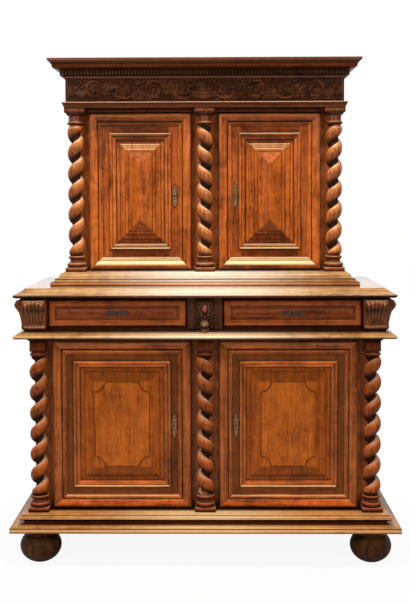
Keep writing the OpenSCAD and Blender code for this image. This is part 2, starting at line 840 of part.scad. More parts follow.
module panel_groove(w, h) {
    block([door_stile - groove_l - glue_line, plate_y0 - glue_line, door_stile - groove_l - glue_line],
        [w - door_stile + groove_l + glue_line, plate_y1 + glue_line, h - door_stile + groove_l + glue_line]);
}
module keyhole(depth) {
    rotate([-90, 0, 0]) {
        cylinder(r = key_r, h = depth);
        translate([-1.6, 0, 0]) cube([3.2, 11, depth]);
    }
}
module door_frame(w, h, key_h) {
    third = door_t / 3;
    tenon_in = door_stile - door_tenon;
    // the stiles
    difference() {
        union() {
            cube([door_stile, door_t, h]);
            translate([w - door_stile, 0, 0]) cube([door_stile, door_t, h]);
        }
        panel_groove(w, h);
        for (z = [14, h - door_stile + 14])
            block([tenon_in - glue_line, third - glue_line, z - glue_line],
                [w - tenon_in + glue_line, 2 * third + glue_line, z + door_stile - 28 + glue_line]);
        translate([pin_in, pin_back, -1]) cylinder(r = pin_r + pin_play, h = pin_grip + 1.5);
        translate([pin_in, pin_back, h - pin_grip - 0.5]) cylinder(r = pin_r + pin_play, h = pin_grip + 1.5);
        translate([w - key_in, -1, key_h]) keyhole(door_t + 2);
    }
    // the rails
    difference() {
        for (z = [0, h - door_stile]) {
            block([door_stile + glue_line, 0, z], [w - door_stile - glue_line, door_t, z + door_stile]);
            block([tenon_in, third, z + 14], [w - tenon_in, 2 * third, z + door_stile - 14]);
        }
        panel_groove(w, h);
    }
}

// Half of a hump: from its crown down to its root, out to one side
function flank(crown, reach, rise, n) =
    [for (i = [0:n]) let (a = 90 * i / n) [crown + reach * sin(a), -rise * cos(a)]];
quirk = 40;
ogee_end = 58;
inner_bead = 86;
module door_moulding(w, h) {
    // the broad convex moulding
    moulding_ring(w, h, flank(17, -17, moulding_rise, 5), flank(23, quirk - 24, moulding_rise, 5));
    // the small ogee inside it
    moulding_ring(w, h, [[quirk + 2, -6], [quirk + 0.5, -5], [quirk, 0]],
        [[quirk + 9, -6], [quirk + 11, -3], [quirk + 15, -2], [ogee_end - 1, -1], [ogee_end, 0]]);
    // the inner frame that covers the panel's edge
    edge = door_stile + glue_line;
    bottom = plate_y0 - glue_line;
    difference() {
        inset_solid(w, h, [[inner_bead + 4, -7], [inner_bead + 1, -5.5], [inner_bead, -3],
            [inner_bead, -glue_line], [edge, -glue_line], [edge, bottom]]);
        inset_solid(w, h, [[inner_bead + 12, -8], [inner_bead + 12, -7], [inner_bead + 15, -2],
            [inner_bead + 22, -0.5], [inner_bead + 27, 1.5], [inner_bead + 30, bottom],
            [inner_bead + 30, bottom + 1]]);
    }
}

// The upper doors' panels: three steps and a hipped point
pyramid_in = 86;
pyramid_apex = 26;
outer_step_in = 48;
inner_step_in = 70;
module upper_panel(w, h) {
    margin = door_stile - groove_l;
    pw = w - 2 * margin;
    ridge = pw / 2 - 1;
    translate([margin, 0, margin])
        inset_solid(pw, h - 2 * margin, [[ridge, -pyramid_apex], [pyramid_in, -5], [pyramid_in - 2, -4],
            [pyramid_in - 2, -1], [inner_step_in + 2, -1], [inner_step_in, 0], [inner_step_in, 4],
            [outer_step_in + 2, 4], [outer_step_in, 5], [outer_step_in, plate_y0], [0, plate_y0],
            [0, plate_y1]]);
}
// The lower doors' panels: one step, and a raised field with hollow corners
field_in = 92;
corner_r = 44;
module lower_panel(w, h) {
    margin = door_stile - groove_l;
    pw = w - 2 * margin;
    ph = h - 2 * margin;
    translate([margin, 0, margin]) {
        inset_solid(pw, ph, [[64, 1], [53, 3], [50, 5], [50, plate_y0], [0, plate_y0], [0, plate_y1]]);
        difference() {
            inset_solid(pw, ph, [[field_in + 3, -4], [field_in, -1.5], [field_in, 2]]);
            for (x = [field_in, pw - field_in], z = [field_in, ph - field_in])
                translate([x, -5, z]) rotate([-90, 0, 0]) cylinder(r = corner_r, h = 6);
        }
    }
}

// A pierced key plate, h high, with its keyhole at the origin
module key_plate(l) {
    plate_w = 24;
    rotate([90, 0, 0])
        linear_extrude(height = plate_t)
            difference() {
                union() {
                    square([12, l], center = true);
                    circle(r = plate_w / 2);
                    for (s = [-1, 1]) {
                        translate([0, s * l * 0.25]) circle(r = plate_w / 2 - 1.5);
                        translate([0, s * l * 0.42]) circle(r = 6.5);
                        translate([0, s * l * 0.5]) rotate(45) square(6, center = true);
                    }
                }
                circle(r = key_r);
                translate([-1.6, -11]) square([3.2, 11]);
                for (s = [-1, 1], k = [-1, 1])
                    translate([k * 5, s * l * 0.25]) circle(r = 2.6);
                for (s = [-1, 1])
                    translate([0, s * l * 0.42]) circle(r = 2);
            }
}

key_plate_l = 94;
module door_lock(w, key_h) {
    color(iron)
        difference() {
            block([w - lock_in - lock_w, door_t + glue_line, key_h - lock_h + 36],
                [w - lock_in, door_t + lock_t, key_h + 36]);
            block([w - lock_in - bolt_l - 1, door_t + door_back_gap + bolt_back - seat_play,
                    key_h + bolt_up - seat_play],
                [w - lock_in + 1, door_t + door_back_gap + bolt_back + bolt_t + seat_play,
                    key_h + bolt_up + bolt_h + seat_play]);
            translate([w - key_in, door_t - 1, key_h]) keyhole(lock_t - 4);
        }
    color(brass)
        translate([w - key_in, -glue_line, key_h]) key_plate(key_plate_l);
}
module door_bolt(w, key_h) {
    color(iron)
        block([w - lock_in - bolt_l, door_t + door_back_gap + bolt_back, key_h + bolt_up],
            [w - lock_in - seat_play, door_t + door_back_gap + bolt_back + bolt_t, key_h + bolt_up + bolt_h]);
}
module door_pins(h, top_gap) {
    color(iron)
        for (z = [[-door_play - pin_seat, pin_grip], [h - pin_grip, h + top_gap + pin_seat]])
            translate([pin_in, pin_back, z[0]]) cylinder(r = pin_r, h = z[1] - z[0]);
}

// Stands a door's piece in its place; side is -1 for the left door and 1 for the right
module at_lower_door(side) {
    mirror([side > 0 ? 1 : 0, 0, 0])
        translate([-lower_x1, lower_door_y, lower_door_z0]) children();
}
module at_upper_door(side) {
    mirror([side > 0 ? 1 : 0, 0, 0])
        translate([-upper_x1, upper_door_y, upper_door_z0]) children();
}
module lower_door_frame(side) {
    color(walnut) at_lower_door(side) door_frame(lower_door_w, lower_door_h, lower_key_z - lower_door_z0);
}
module lower_door_moulding(side) {
    color(walnut_light) at_lower_door(side) door_moulding(lower_door_w, lower_door_h);
}
module lower_door_panel(side) {
    color(honey) at_lower_door(side) lower_panel(lower_door_w, lower_door_h);
}
module lower_door_lock(side) {
    at_lower_door(side) door_lock(lower_door_w, lower_key_z - lower_door_z0);
}
module lower_door_bolt(side) {
    at_lower_door(side) door_bolt(lower_door_w, lower_key_z - lower_door_z0);
}
module lower_door_pins(side) {
    at_lower_door(side) door_pins(lower_door_h, waist_z - lower_door_z1);
}
module upper_door_frame(side) {
    color(walnut) at_upper_door(side) door_frame(upper_door_w, upper_door_h, upper_key_z - upper_door_z0);
}
module upper_door_moulding(side) {
    color(walnut_light) at_upper_door(side) door_moulding(upper_door_w, upper_door_h);
}
module upper_door_panel(side) {
    color(honey) at_upper_door(side) upper_panel(upper_door_w, upper_door_h);
}
module upper_door_lock(side) {
    at_upper_door(side) door_lock(upper_door_w, upper_key_z - upper_door_z0);
}
module upper_door_bolt(side) {
    at_upper_door(side) door_bolt(upper_door_w, upper_key_z - upper_door_z0);
}
module upper_door_pins(side) {
    at_upper_door(side) door_pins(upper_door_h, architrave_z - head_rail_h - upper_door_z1);
}

// Drawers. Right-hand drawer; the left one is its mirror image.
drawer_w = drawer_x1 - drawer_x0;
drawer_mid = (drawer_x0 + drawer_x1) / 2;
drawer_key_z = (drawer_z0 + drawer_z1) / 2;
drawer_front_rise = 9;
drawer_lock_y = drawer_y + drawer_front_t;
drawer_bolt_y = drawer_lock_y + lock_t - 2 - bolt_t;
drawer_bolt_l = 38;
drawer_box_h = drawer_h - 18;
module drawer_bolt_pocket() {
    block([drawer_mid - bolt_h / 2 - pocket_play, drawer_bolt_y - pocket_play, drawer_z1],
        [drawer_mid + bolt_h / 2 + pocket_play, drawer_bolt_y + bolt_t + pocket_play,
            drawer_z1 + drawer_top_gap + bolt_throw]);
}
module drawer_front() {
    ring = 30;
    color(walnut_light)
        difference() {
            union() {
                block([drawer_x0, drawer_y, drawer_z0], [drawer_x1, drawer_y + drawer_front_t, drawer_z1]);
                translate([drawer_x0, drawer_y, drawer_z0]) {
                    moulding_ring(drawer_w, drawer_h, flank(12, -12, drawer_front_rise, 4),
                        flank(18, ring - 18, drawer_front_rise, 4));
                    inset_solid(drawer_w, drawer_h, [[44, -3], [42, -2], [42, 1]]);
                }
            }
            translate([drawer_mid, drawer_y - 10, drawer_key_z]) keyhole(drawer_front_t + 20);
            // grooves that take the box sides
            for (x = [box_x0, box_x1 - drawer_side_t])
                block([x - glue_line, drawer_y + drawer_front_t - 8, drawer_z0 - 1],
                    [x + drawer_side_t + glue_line, drawer_y + drawer_front_t + 1, drawer_z0 + 3 + drawer_box_h]);
        }
}
module drawer_box() {
    y0 = drawer_y + drawer_front_t;
    y1 = y0 + drawer_box_d;
    z0 = drawer_z0 + seat_play;
    z1 = z0 + drawer_box_h;
    bottom_z = z0 + 6;
    inner0 = box_x0 + drawer_side_t;
    inner1 = box_x1 - drawer_side_t;
    module bottom(grow) {
        block([inner0 - 5 - grow, y0 + glue_line - grow, bottom_z - grow],
            [inner1 + 5 + grow, y1 - drawer_side_t + 5 + grow, bottom_z + drawer_bottom_t + grow]);
    }
    color(oak) {
        for (x = [box_x0, inner1])
            difference() {
                block([x, y0 - 7.5, z0], [x + drawer_side_t, y1, z1]);
                bottom(glue_line);
            }
        difference() {
            block([inner0 + glue_line, y1 - drawer_side_t, z0], [inner1 - glue_line, y1, z1]);
            bottom(glue_line);
        }
        bottom(0);
    }
}
drawer_lock_h = 56;
module drawer_lock() {
    color(iron)
        difference() {
            block([drawer_mid - lock_w / 2, drawer_lock_y + glue_line, drawer_z1 - 0.5 - drawer_lock_h],
                [drawer_mid + lock_w / 2, drawer_lock_y + lock_t, drawer_z1 - 0.5]);
            block([drawer_mid - bolt_h / 2 - seat_play, drawer_bolt_y - seat_play, drawer_z1 - drawer_bolt_l - 2],
                [drawer_mid + bolt_h / 2 + seat_play, drawer_bolt_y + bolt_t + seat_play, drawer_z1 + 1]);
        }
    color(brass)
        translate([drawer_mid, drawer_y - glue_line - 3, drawer_key_z])
            rotate([0, 90, 0]) key_plate(key_plate_l);
}
module drawer_bolt() {
    color(iron)
        block([drawer_mid - bolt_h / 2, drawer_bolt_y, drawer_z1 - 0.5 - drawer_bolt_l],
            [drawer_mid + bolt_h / 2, drawer_bolt_y + bolt_t, drawer_z1 - 0.5 - seat_play]);
}
module on_side(side) {
    mirror([side < 0 ? 1 : 0, 0, 0]) children();
}

bun_feet();
plinth_frame();
lower_floor();
lower_side_left();
lower_side_right();
lower_back();
lower_front_stiles();
lower_shelf();
waist_board();
drawer_case();
corner_consoles();
centre_bracket();
top_board();
lower_column_left();
lower_column_centre();
lower_column_right();
upper_base();
upper_side_left();
upper_side_right();
upper_back();
upper_front_stiles();
upper_shelf();
upper_column_left();
upper_column_centre();
upper_column_right();
architrave();
frieze();
cornice();
lower_door_frame(-1);  // lower_door_left_frame
lower_door_moulding(-1);  // lower_door_left_moulding
lower_door_panel(-1);  // lower_door_left_panel
lower_door_lock(-1);  // lower_door_left_lock
lower_door_bolt(-1);  // lower_door_left_bolt
lower_door_pins(-1);  // lower_door_left_pins
lower_door_frame(1);  // lower_door_right_frame
lower_door_moulding(1);  // lower_door_right_moulding
lower_door_panel(1);  // lower_door_right_panel
lower_door_lock(1);  // lower_door_right_lock
lower_door_bolt(1);  // lower_door_right_bolt
lower_door_pins(1);  // lower_door_right_pins
upper_door_frame(-1);  // upper_door_left_frame
upper_door_moulding(-1);  // upper_door_left_moulding
upper_door_panel(-1);  // upper_door_left_panel
upper_door_lock(-1);  // upper_door_left_lock
upper_door_bolt(-1);  // upper_door_left_bolt
upper_door_pins(-1);  // upper_door_left_pins
upper_door_frame(1);  // upper_door_right_frame
upper_door_moulding(1);  // upper_door_right_moulding
upper_door_panel(1);  // upper_door_right_panel
upper_door_lock(1);  // upper_door_right_lock
upper_door_bolt(1);  // upper_door_right_bolt
upper_door_pins(1);  // upper_door_right_pins
on_side(-1) drawer_front();  // drawer_left_front
on_side(-1) drawer_box();  // drawer_left_box
on_side(-1) drawer_lock();  // drawer_left_lock
on_side(-1) drawer_bolt();  // drawer_left_bolt
on_side(1) drawer_front();  // drawer_right_front
on_side(1) drawer_box();  // drawer_right_box
on_side(1) drawer_lock();  // drawer_right_lock
on_side(1) drawer_bolt();  // drawer_right_bolt
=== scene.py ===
# %% [markdown]
# # A two-part walnut cabinet
# The joiner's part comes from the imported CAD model: cases, doors, drawers, boards and locks stand where
# they should and move on their joints. This lesson gives them their finishes and swaps the plain stand-ins
# for turned and carved wood. Everything is in metres, with -Y to the front and Z up.

import math
from functools import cached_property

import bpy
import numpy as np
from mathutils import Matrix, Vector


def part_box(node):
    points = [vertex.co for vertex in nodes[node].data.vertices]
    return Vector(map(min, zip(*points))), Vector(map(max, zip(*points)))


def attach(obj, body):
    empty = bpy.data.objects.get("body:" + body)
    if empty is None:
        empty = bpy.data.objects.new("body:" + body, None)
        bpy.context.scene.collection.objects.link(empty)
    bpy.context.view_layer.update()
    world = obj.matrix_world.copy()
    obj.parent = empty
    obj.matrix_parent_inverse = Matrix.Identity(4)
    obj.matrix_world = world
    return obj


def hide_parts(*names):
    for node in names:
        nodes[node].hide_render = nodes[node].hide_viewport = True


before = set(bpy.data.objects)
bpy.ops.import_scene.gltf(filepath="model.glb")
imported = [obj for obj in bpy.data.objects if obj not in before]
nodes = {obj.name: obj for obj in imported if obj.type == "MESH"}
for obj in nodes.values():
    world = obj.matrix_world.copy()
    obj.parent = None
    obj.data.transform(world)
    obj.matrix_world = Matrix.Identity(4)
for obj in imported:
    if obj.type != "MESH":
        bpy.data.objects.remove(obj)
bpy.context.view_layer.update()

# %% [markdown]
# ## Sums as nodes
# A finish is a small calculation: more dust here, less gloss there. Written as nodes it gets long, so this
# class wraps a node's socket and lets Python's own signs add the Math nodes. Points and directions go
# through Vector Math instead, because a plain Math node would flatten them to one number.

# %% A wire that can be added and multiplied
PER_MM = 1000.0


def sign(operation):
    """One of Python's signs and its reflected form, as the node that does the same."""
    return (lambda one, other: one.sum(operation, one, other)), (lambda one, other: one.sum(operation, other, one))


class Wire:
    """One socket of a finish. Sums written with it become nodes."""

    def __init__(self, finish, socket):
        self.finish, self.socket = finish, socket

    def sum(self, operation, *values):
        kind = "Math"
        if any(isinstance(v, Wire) and v.socket.type == "VECTOR" for v in values):
            kind = "VectorMath"
            values = [(v, v, v) if isinstance(v, (int, float)) else v for v in values]
        return self.finish.add(kind, {"operation": operation}, dict(enumerate(values)))

    __add__, __radd__ = sign("ADD")
    __sub__, __rsub__ = sign("SUBTRACT")
    __mul__, __rmul__ = sign("MULTIPLY")
    __pow__ = sign("POWER")[0]
    __gt__ = sign("GREATER_THAN")[0]
    __lt__ = sign("LESS_THAN")[0]

    def __abs__(self):
        return self.sum("ABSOLUTE", self)


# %% A finish that gathers nodes
class Finish:
    """A material in the making. add() is the one way any node gets into it."""

    def __init__(self, name=None, world=None):
        self.material = world or bpy.data.materials.new(name)
        self.material.use_nodes = True
        self.tree = self.material.node_tree
        self.tree.nodes.clear()
        self.place = self.add("TexCoord", out=0 if world else 3)

    def add(self, kind, settings=None, sockets=None, out=0):
        """Adds a node. out is the number of the output that is wanted, or a slice of them."""
        node = self.tree.nodes.new("ShaderNode" + kind)
        for key, value in (settings or {}).items():
            if key == "stops":
                ramp = node.color_ramp
                while len(ramp.elements) < len(value):
                    ramp.elements.new(0.5)
                for element, (place, colour) in zip(ramp.elements, value):
                    element.position = place
                    element.color = (*colour, 1.0)
            else:
                setattr(node, key, value)
        for key, value in (sockets or {}).items():
            if isinstance(value, Wire):
                self.tree.links.new(value.socket, node.inputs[key])
            else:
                node.inputs[key].default_value = value
        wires = [Wire(self, socket) for socket in node.outputs]
        return wires[out] if wires else None

    @cached_property
    def spot(self):
        """The x, y and z of the point that is shaded."""
        return self.parts(self.place)

    @cached_property
    def height(self):
        """The point's height in millimetres."""
        return self.spot[2] * PER_MM

    def parts(self, point):
        return self.add("SeparateXYZ", {}, {0: point}, out=slice(3))

    def clamp(self, value):
        return self.add("Clamp", {}, {"Value": value})

    def step(self, value, low, high):
        """0 below low, 1 above high, smooth between them. With low above high it falls instead."""
        return self.add("MapRange", {"interpolation_type": "SMOOTHSTEP"},
                        {"Value": value, "From Min": low, "From Max": high})

    def stripe(self, value, at, wide, core):
        """1 on a line at a place along value, fading out from a share of its half width."""
        return self.step(abs(value - at), wide, wide * core)

    def colours(self, mode, factor, first, second):
        pair = [v if isinstance(v, Wire) else (*v, 1.0) for v in (first, second)]
        return self.add("Mix", {"data_type": "RGBA", "blend_type": mode},
                        {0: factor, 6: pair[0], 7: pair[1]}, out=2)

    def points(self, factor, first, second):
        return self.add("Mix", {"data_type": "VECTOR"}, {0: factor, 4: first, 5: second}, out=1)

    def noise(self, place, scale, detail=2.0, rough=0.5, warp=0.0):
        return self.add("TexNoise", {}, {"Vector": place, "Scale": scale, "Detail": detail,
                                         "Roughness": rough, "Distortion": warp})

    def bump(self, strength, distance, height, **more):
        return self.add("Bump", {}, {"Strength": strength, "Distance": distance, "Height": height, **more})

    def close(self, **shader):
        """The last two nodes: the shader and the surface it goes to."""
        surface = self.add("BsdfPrincipled", {}, {key.replace("_", " "): value for key, value in shader.items()})
        self.add("OutputMaterial", {}, {"Surface": surface})
        return self.material


# %% [markdown]
# ## Walnut
# All the show wood is walnut under old varnish. It has four layers: a slow drift of tone along the board,
# bands a finger wide, fibres a hair wide, and dark pores. Grain runs along a board, so the pattern is
# made in a space squeezed along the grain. Where mouldings meet at a mitre the grain turns with them, and
# a mask picks which of two squeezed spaces to use. The finish is darker in the corners, where wax and dust
# stay, and on faces that look down, and this darkening is partly painted shade. It is lighter on the edges
# that hands and cloths rub, with a painted highlight on the edges that face up.

# %% Grain, grime and painted shade, wear and painted highlights
GRIME_AND_SHADE = (0.020, 0.0052, 0.0013)
HIGHLIGHT_CREAM = (0.95, 0.70, 0.48)
PORE_BROWN = (0.45, 0.36, 0.30)
EDGE_RADIUS = 0.0028
OTHER_BOARD = (1.7, 0.9, 0.4)


def grain_space(finish, along, across=None, mask=None, share=0.05):
    """Points squeezed along the grain, so that noise in them is drawn out into fibres."""
    first, second = [tuple(share if name == axis else 1.0 for name in "XYZ") for axis in (along, across)]
    if mask is None:
        return finish.place * first
    return finish.points(mask, finish.place * first, finish.place * second + OTHER_BOARD)


def hollow(finish, reach):
    """1 in the open and towards 0 in grooves and corners."""
    return finish.add("AmbientOcclusion", {"samples": 6}, {"Distance": reach}, out=1)


def rounded(finish, radius):
    """The surface's direction with its edges rounded over, as years of rubbing leave them."""
    return finish.add("Bevel", {"samples": 6}, {"Radius": radius})


def rubbed_edge(finish, soft):
    """1 on an edge that a cloth would rub, 0 on the flat."""
    flat = finish.add("NewGeometry", out=1)
    same = finish.add("VectorMath", {"operation": "DOT_PRODUCT"}, {0: soft, 1: flat}, out=1)
    return finish.step(1.0 - same, 0.03, 0.22)


def tones(red, green, blue, spread=0.60):
    """Late wood, middle and early wood round one middle colour."""
    return ((red * (1 - spread), green * (1 - spread) * 0.88, blue * (1 - spread) * 0.8), (red, green, blue),
            (red * (1 + spread * 0.8), green * (1 + spread), blue * (1 + spread * 1.3)))


def lit(colour, gain, extra):
    """A lighter colour, for scuffed wood and for painted highlights."""
    return tuple(min(0.9, c * gain + e) for c, e in zip(colour, extra))


def nothing(finish):
    return ()


# %% [markdown]
# ## One recipe, many boards
# Every board gets its own copy of the recipe below, with its own tone and its own extras. An extra is a
# function of the finish. Those for shade and lines give pairs of a factor and a tint that multiply the
# wood, as dirt in quirks and painted shade, and those for glints give factors that blend to a pale colour,
# as painted highlights. Shade lies under the polish, and lines come last and take the polish away.

# %% The recipe
def walnut(name, tone, along="Z", across=None, mask=None, share=0.05, band=56.0, lying=(0.62, 0.55, 0.48),
           reach=0.03, grime_and_shade=0.92, under=0.60, wear=0.55, top_highlight=0.0, gloss=0.22, coat=0.0, spec=0.20,
           top_sheen=0.0, shade=nothing, glints=nothing, glint=(0.92, 0.67, 0.32), lines=nothing, dull=None):
    """Varnished walnut. mask is a function of the finish that says where the grain turns."""
    finish = Finish(name)
    place = finish.place
    dark, middle, light = tone
    turned = mask(finish) if mask else None
    grain = grain_space(finish, along, across, turned, share)
    drift = finish.noise(place, 3.1, 3.0, 0.55, 0.4)
    blotch = finish.noise(place, 21.0, 4.0, 0.62, 0.8)
    bands = finish.noise(grain, band, 4.0, 0.65, 1.1)
    fibres = finish.noise(grain, 430.0, 3.0, 0.7)
    pores = finish.noise(grain, 950.0, 2.0, 0.6)
    figure = bands * 0.52 + fibres * 0.22 + drift * 0.26 + blotch * 0.34 - 0.17
    wood = finish.add("ValToRGB", {"stops": [(0.36, dark), (0.50, middle), (0.64, light)]}, {0: figure})
    open_pores = finish.step(pores, 0.60, 0.72)
    wood = finish.colours("MULTIPLY", open_pores * 0.5, wood, PORE_BROWN)
    # Where the grain turns the lying tint is applied: partly the cross grain's own tone, partly painted light and
    # shade.
    if mask:
        wood = finish.colours("MULTIPLY", turned, wood, lying)
    # Shade extras: dark quirks with dirt, and painted shade.
    for factor, tint in shade(finish):
        wood = finish.colours("MULTIPLY", factor, wood, tint)
    # Hollows and faces that look down are mixed toward a dark colour: grime, and painted shade.
    unoccluded = finish.step(hollow(finish, reach), 0.38, 0.94)
    soft = rounded(finish, EDGE_RADIUS)
    upward = finish.parts(soft)[2]
    below = finish.step(0.0 - upward, 0.10, 0.60)
    wood = finish.colours("MIX", finish.clamp((1.0 - unoccluded) * grime_and_shade + below * under), wood, GRIME_AND_SHADE)
    # Edges are lighter: real wear, and a painted highlight where they face up.
    patchy = 0.4 + finish.step(finish.noise(place, 34.0, 2.0), 0.35, 0.65) * 0.6
    up_edge_highlight = 0.2 + finish.step(upward, 0.05, 0.45) * 0.8
    wood = finish.colours("MIX", rubbed_edge(finish, soft) * unoccluded * patchy * up_edge_highlight * wear, wood,
                          lit(light, 1.3, (0.10, 0.055, 0.02)))
    # Painted highlights on the parts that face up.
    if top_highlight:
        wood = finish.colours("MIX", finish.step(upward, 0.0, 0.75) * unoccluded * top_highlight, wood,
                              lit(light, 1.9, (0.10, 0.060, 0.025)))
        wood = finish.colours("MIX", finish.step(upward, 0.50, 0.88) * unoccluded * top_highlight * 0.9, wood, HIGHLIGHT_CREAM)
    # Glints: painted highlights.
    for factor in glints(finish):
        wood = finish.colours("MIX", factor * (0.45 + bands), wood, glint)
    open_face = unoccluded
    # Lines: dark tints along edges, steps and ends, most of them painted shade, which also take away the coat.
    for factor, tint in lines(finish):
        wood = finish.colours("MULTIPLY", factor, wood, tint)
        open_face = open_face * (1.0 - factor)
    rough = gloss + fibres * 0.12 + (1.0 - unoccluded) * 0.4
    if dull:
        rough = finish.clamp(rough + dull(finish))
    film = coat * open_face * (1.0 - below)
    if top_sheen:
        film = finish.clamp(film + finish.step(upward, 0.90, 0.99) * top_sheen)
    relief = finish.bump(0.16, 0.0006, fibres * 0.6 + bands * 0.5 - open_pores * 0.5, Normal=soft)
    return finish.close(Base_Color=wood, Roughness=rough, Normal=relief, Coat_Weight=film, Coat_Roughness=0.14,
                        Specular_IOR_Level=spec)


# %% Give a board its finish
def dress(node, material):
    """Gives a CAD node its finish."""
    slots = nodes[node].material_slots
    for slot in slots:
        slot.material = material
    if not slots:
        nodes[node].data.materials.append(material)


def wood(node, tone, **options):
    """Dresses a CAD node in walnut of its own."""
    dress(node, walnut(node + "_walnut", tone, **options))


# %% [markdown]
# ## The plain boards
# The boards that jut out are pale honey, the case wood is deep red-brown, and the inside is
# plain oak. The edge of a moulded board is a stack of small steps that each catch or lose the light, so it
# gets painted lines of light and shade at their heights. The honey boards also get a painted highlight
# near their middle. A board that is mitred at its front corners turns its grain there.

# %% Lines along an edge
# Tints for painted lines of light and shade along the moulded edges: the darkest are painted shade in grooves and
# under ledges, the greenish one is painted shade on the dentils.
DEEP_SHADE = (0.040, 0.006, 0.001)
SHADE_RED = (0.120, 0.018, 0.002)
GROOVE_SHADE = (0.120, 0.026, 0.001)
RED_SHADE = (0.26, 0.065, 0.006)
BROWN = (0.36, 0.22, 0.14)
DARK = (0.22, 0.125, 0.075)
AMBER = (0.85, 0.46, 0.24)
FAINT = (0.72, 0.62, 0.52)
DENTIL_SHADE = (0.30, 0.56, 0.37)
PLINTH_FACE = 154.0


def level_lines(*lines):
    """Painted lines of light and shade along a moulded edge, as (height in mm, half width in mm, strength, tint)."""
    return lambda finish: [(finish.stripe(finish.height, at, wide, 0.7) * strength, tint)
                           for at, wide, strength, tint in lines]


def level_glints(*lines):
    """Painted highlights along an edge that faces up, as (height in mm, half width in mm, strength)."""
    return lambda finish: [finish.stripe(finish.height, at, wide, 0.5) * strength for at, wide, strength in lines]


def middle_highlight(finish):
    """Painted highlights on the honey boards, palest near the middle and on the plinth's face."""
    x, y, z = finish.spot
    outside = 1.0 - finish.step(y, -0.06, 0.0) * 0.8
    plinth_face = finish.step(abs(finish.height - PLINTH_FACE), 9.0, 5.0)
    return [(1.0 - finish.step(abs(x), 0.02, 0.55)) * outside * 0.72, plinth_face * 0.38]


def under_doors(finish):
    """Painted shade: the dark strip of the floor board beneath the lower doors."""
    x, y, z = finish.spot
    strip = finish.step(y, -0.206, -0.184) * finish.step(y, -0.118, -0.138) * finish.step(abs(x), 0.72, 0.66)
    return [(strip * 0.97, DEEP_SHADE)]


def both(first, second):
    """Two extras as one."""
    return lambda finish: [*first(finish), *second(finish)]


def board(node, tone, **options):
    """Walnut along X that turns at the mitred front corners."""
    low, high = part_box(node)

    def mitre(finish):
        x, y, z = finish.spot
        return (y - low.y) > (high.x - abs(x))

    wood(node, tone, along="X", across="Y", mask=mitre, lying=(1.0, 1.0, 1.0), **options)


# %% Dress the boards
LEDGE_TONE = tones(0.49, 0.255, 0.095, 0.60)
PLINTH_TONE = tones(0.53, 0.225, 0.060, 0.60)
# In each entry the rubbed colour is the colour of the painted highlights near the middle.
HONEY_BOARDS = {  # tone, rubbed colour, lines
    "upper_base": (LEDGE_TONE, (0.95, 0.85, 0.70),
                   ((1177.0, 3.4, 0.97, DARK), (1165.3, 2.6, 0.95, DARK), (1158.5, 6.0, 0.85, AMBER),
                    (1151.2, 3.8, 0.97, RED_SHADE), (1197.0, 1.9, 0.6, FAINT), (1184.0, 2.2, 0.6, FAINT),
                    (1189.0, 1.8, 0.4, FAINT))),
    "top_board": (LEDGE_TONE, (0.95, 0.84, 0.66),
                  ((1112.5, 12.0, 0.97, SHADE_RED), (1125.0, 1.8, 0.5, BROWN), (1131.5, 1.6, 0.7, FAINT),
                   (1137.5, 1.2, 0.5, FAINT), (1142.0, 1.2, 0.5, FAINT), (1147.3, 2.2, 0.9, FAINT))),
    "waist_board": (LEDGE_TONE, (0.95, 0.77, 0.50),
                    ((977.0, 9.5, 0.97, DEEP_SHADE), (963.5, 5.5, 0.8, FAINT), (966.5, 1.6, 0.7, BROWN),
                     (948.0, 2.2, 0.8, BROWN), (933.5, 14.0, 0.98, DEEP_SHADE))),
    "lower_floor": (PLINTH_TONE, (0.93, 0.62, 0.30),
                    ((205.4, 1.8, 0.9, DARK), (187.0, 6.0, 0.98, GROOVE_SHADE), (198.0, 2.4, 0.7, FAINT))),
    "plinth_frame": (PLINTH_TONE, (0.93, 0.58, 0.26),
                     ((180.0, 14.5, 0.98, GROOVE_SHADE), (161.8, 2.2, 0.9, RED_SHADE), (145.5, 5.0, 0.85, BROWN),
                      (150.5, 2.0, 0.5, FAINT))),
}
for node, (tone, highlight_colour, lines) in HONEY_BOARDS.items():
    board(node, tone, wear=0.7, gloss=0.16, reach=0.007, under=0.95, band=150.0, share=0.02, coat=0.10, spec=0.10,
          lines=both(level_lines(*lines), under_doors if node == "lower_floor" else nothing),
          glints=middle_highlight, glint=highlight_colour, top_sheen=0.9 if node == "top_board" else 0.0)
for node in ("architrave", "cornice"):
    board(node, tones(0.112, 0.025, 0.006), wear=0.4, reach=0.012, spec=0.08,
          lines=level_lines((2042.0, 13.0, 0.75, DENTIL_SHADE)), glint=(0.85, 0.50, 0.33),
          glints=level_glints((1921.6, 1.8, 0.62), (1905.0, 1.2, 0.10), (2090.0, 6.0, 0.07), (2027.0, 2.6, 0.12)))
board("frieze", tones(0.085, 0.025, 0.008), wear=0.3, spec=0.18)
print("mitred boards dressed, honey ones:", ", ".join(HONEY_BOARDS))


# %% Dress the uprights, the drawer case and the feet
def under_crown(finish):
    """Painted shade on the head rails, which lie in the shade of the board above them."""
    x, y, z = finish.spot
    return [(finish.step(z, 1.881, 1.885) * (y < 0.03) * 0.95, (0.22, 0.15, 0.12))]


stile_wood = walnut("stile_walnut", tones(0.44, 0.110, 0.025), reach=0.008, shade=under_crown)
for case in ("lower", "upper"):
    for part in ("side_left", "side_right", "front_stiles"):
        dress(case + "_" + part, stile_wood)
wood("drawer_case", tones(0.150, 0.034, 0.003), along="X", wear=0.2, spec=0.06)
wood("bun_feet", tones(0.050, 0.017, 0.004, 0.9), wear=0.2, spec=0.07, gloss=0.34, reach=0.02, under=0.2)
print("finishes so far:", len(bpy.data.materials))

# %% [markdown]
# ## Oak inside
# Backs, shelves and drawer boxes are oak without varnish. Oak has long open pores and is nearly matt, so
# it gets its own short recipe with no coat.

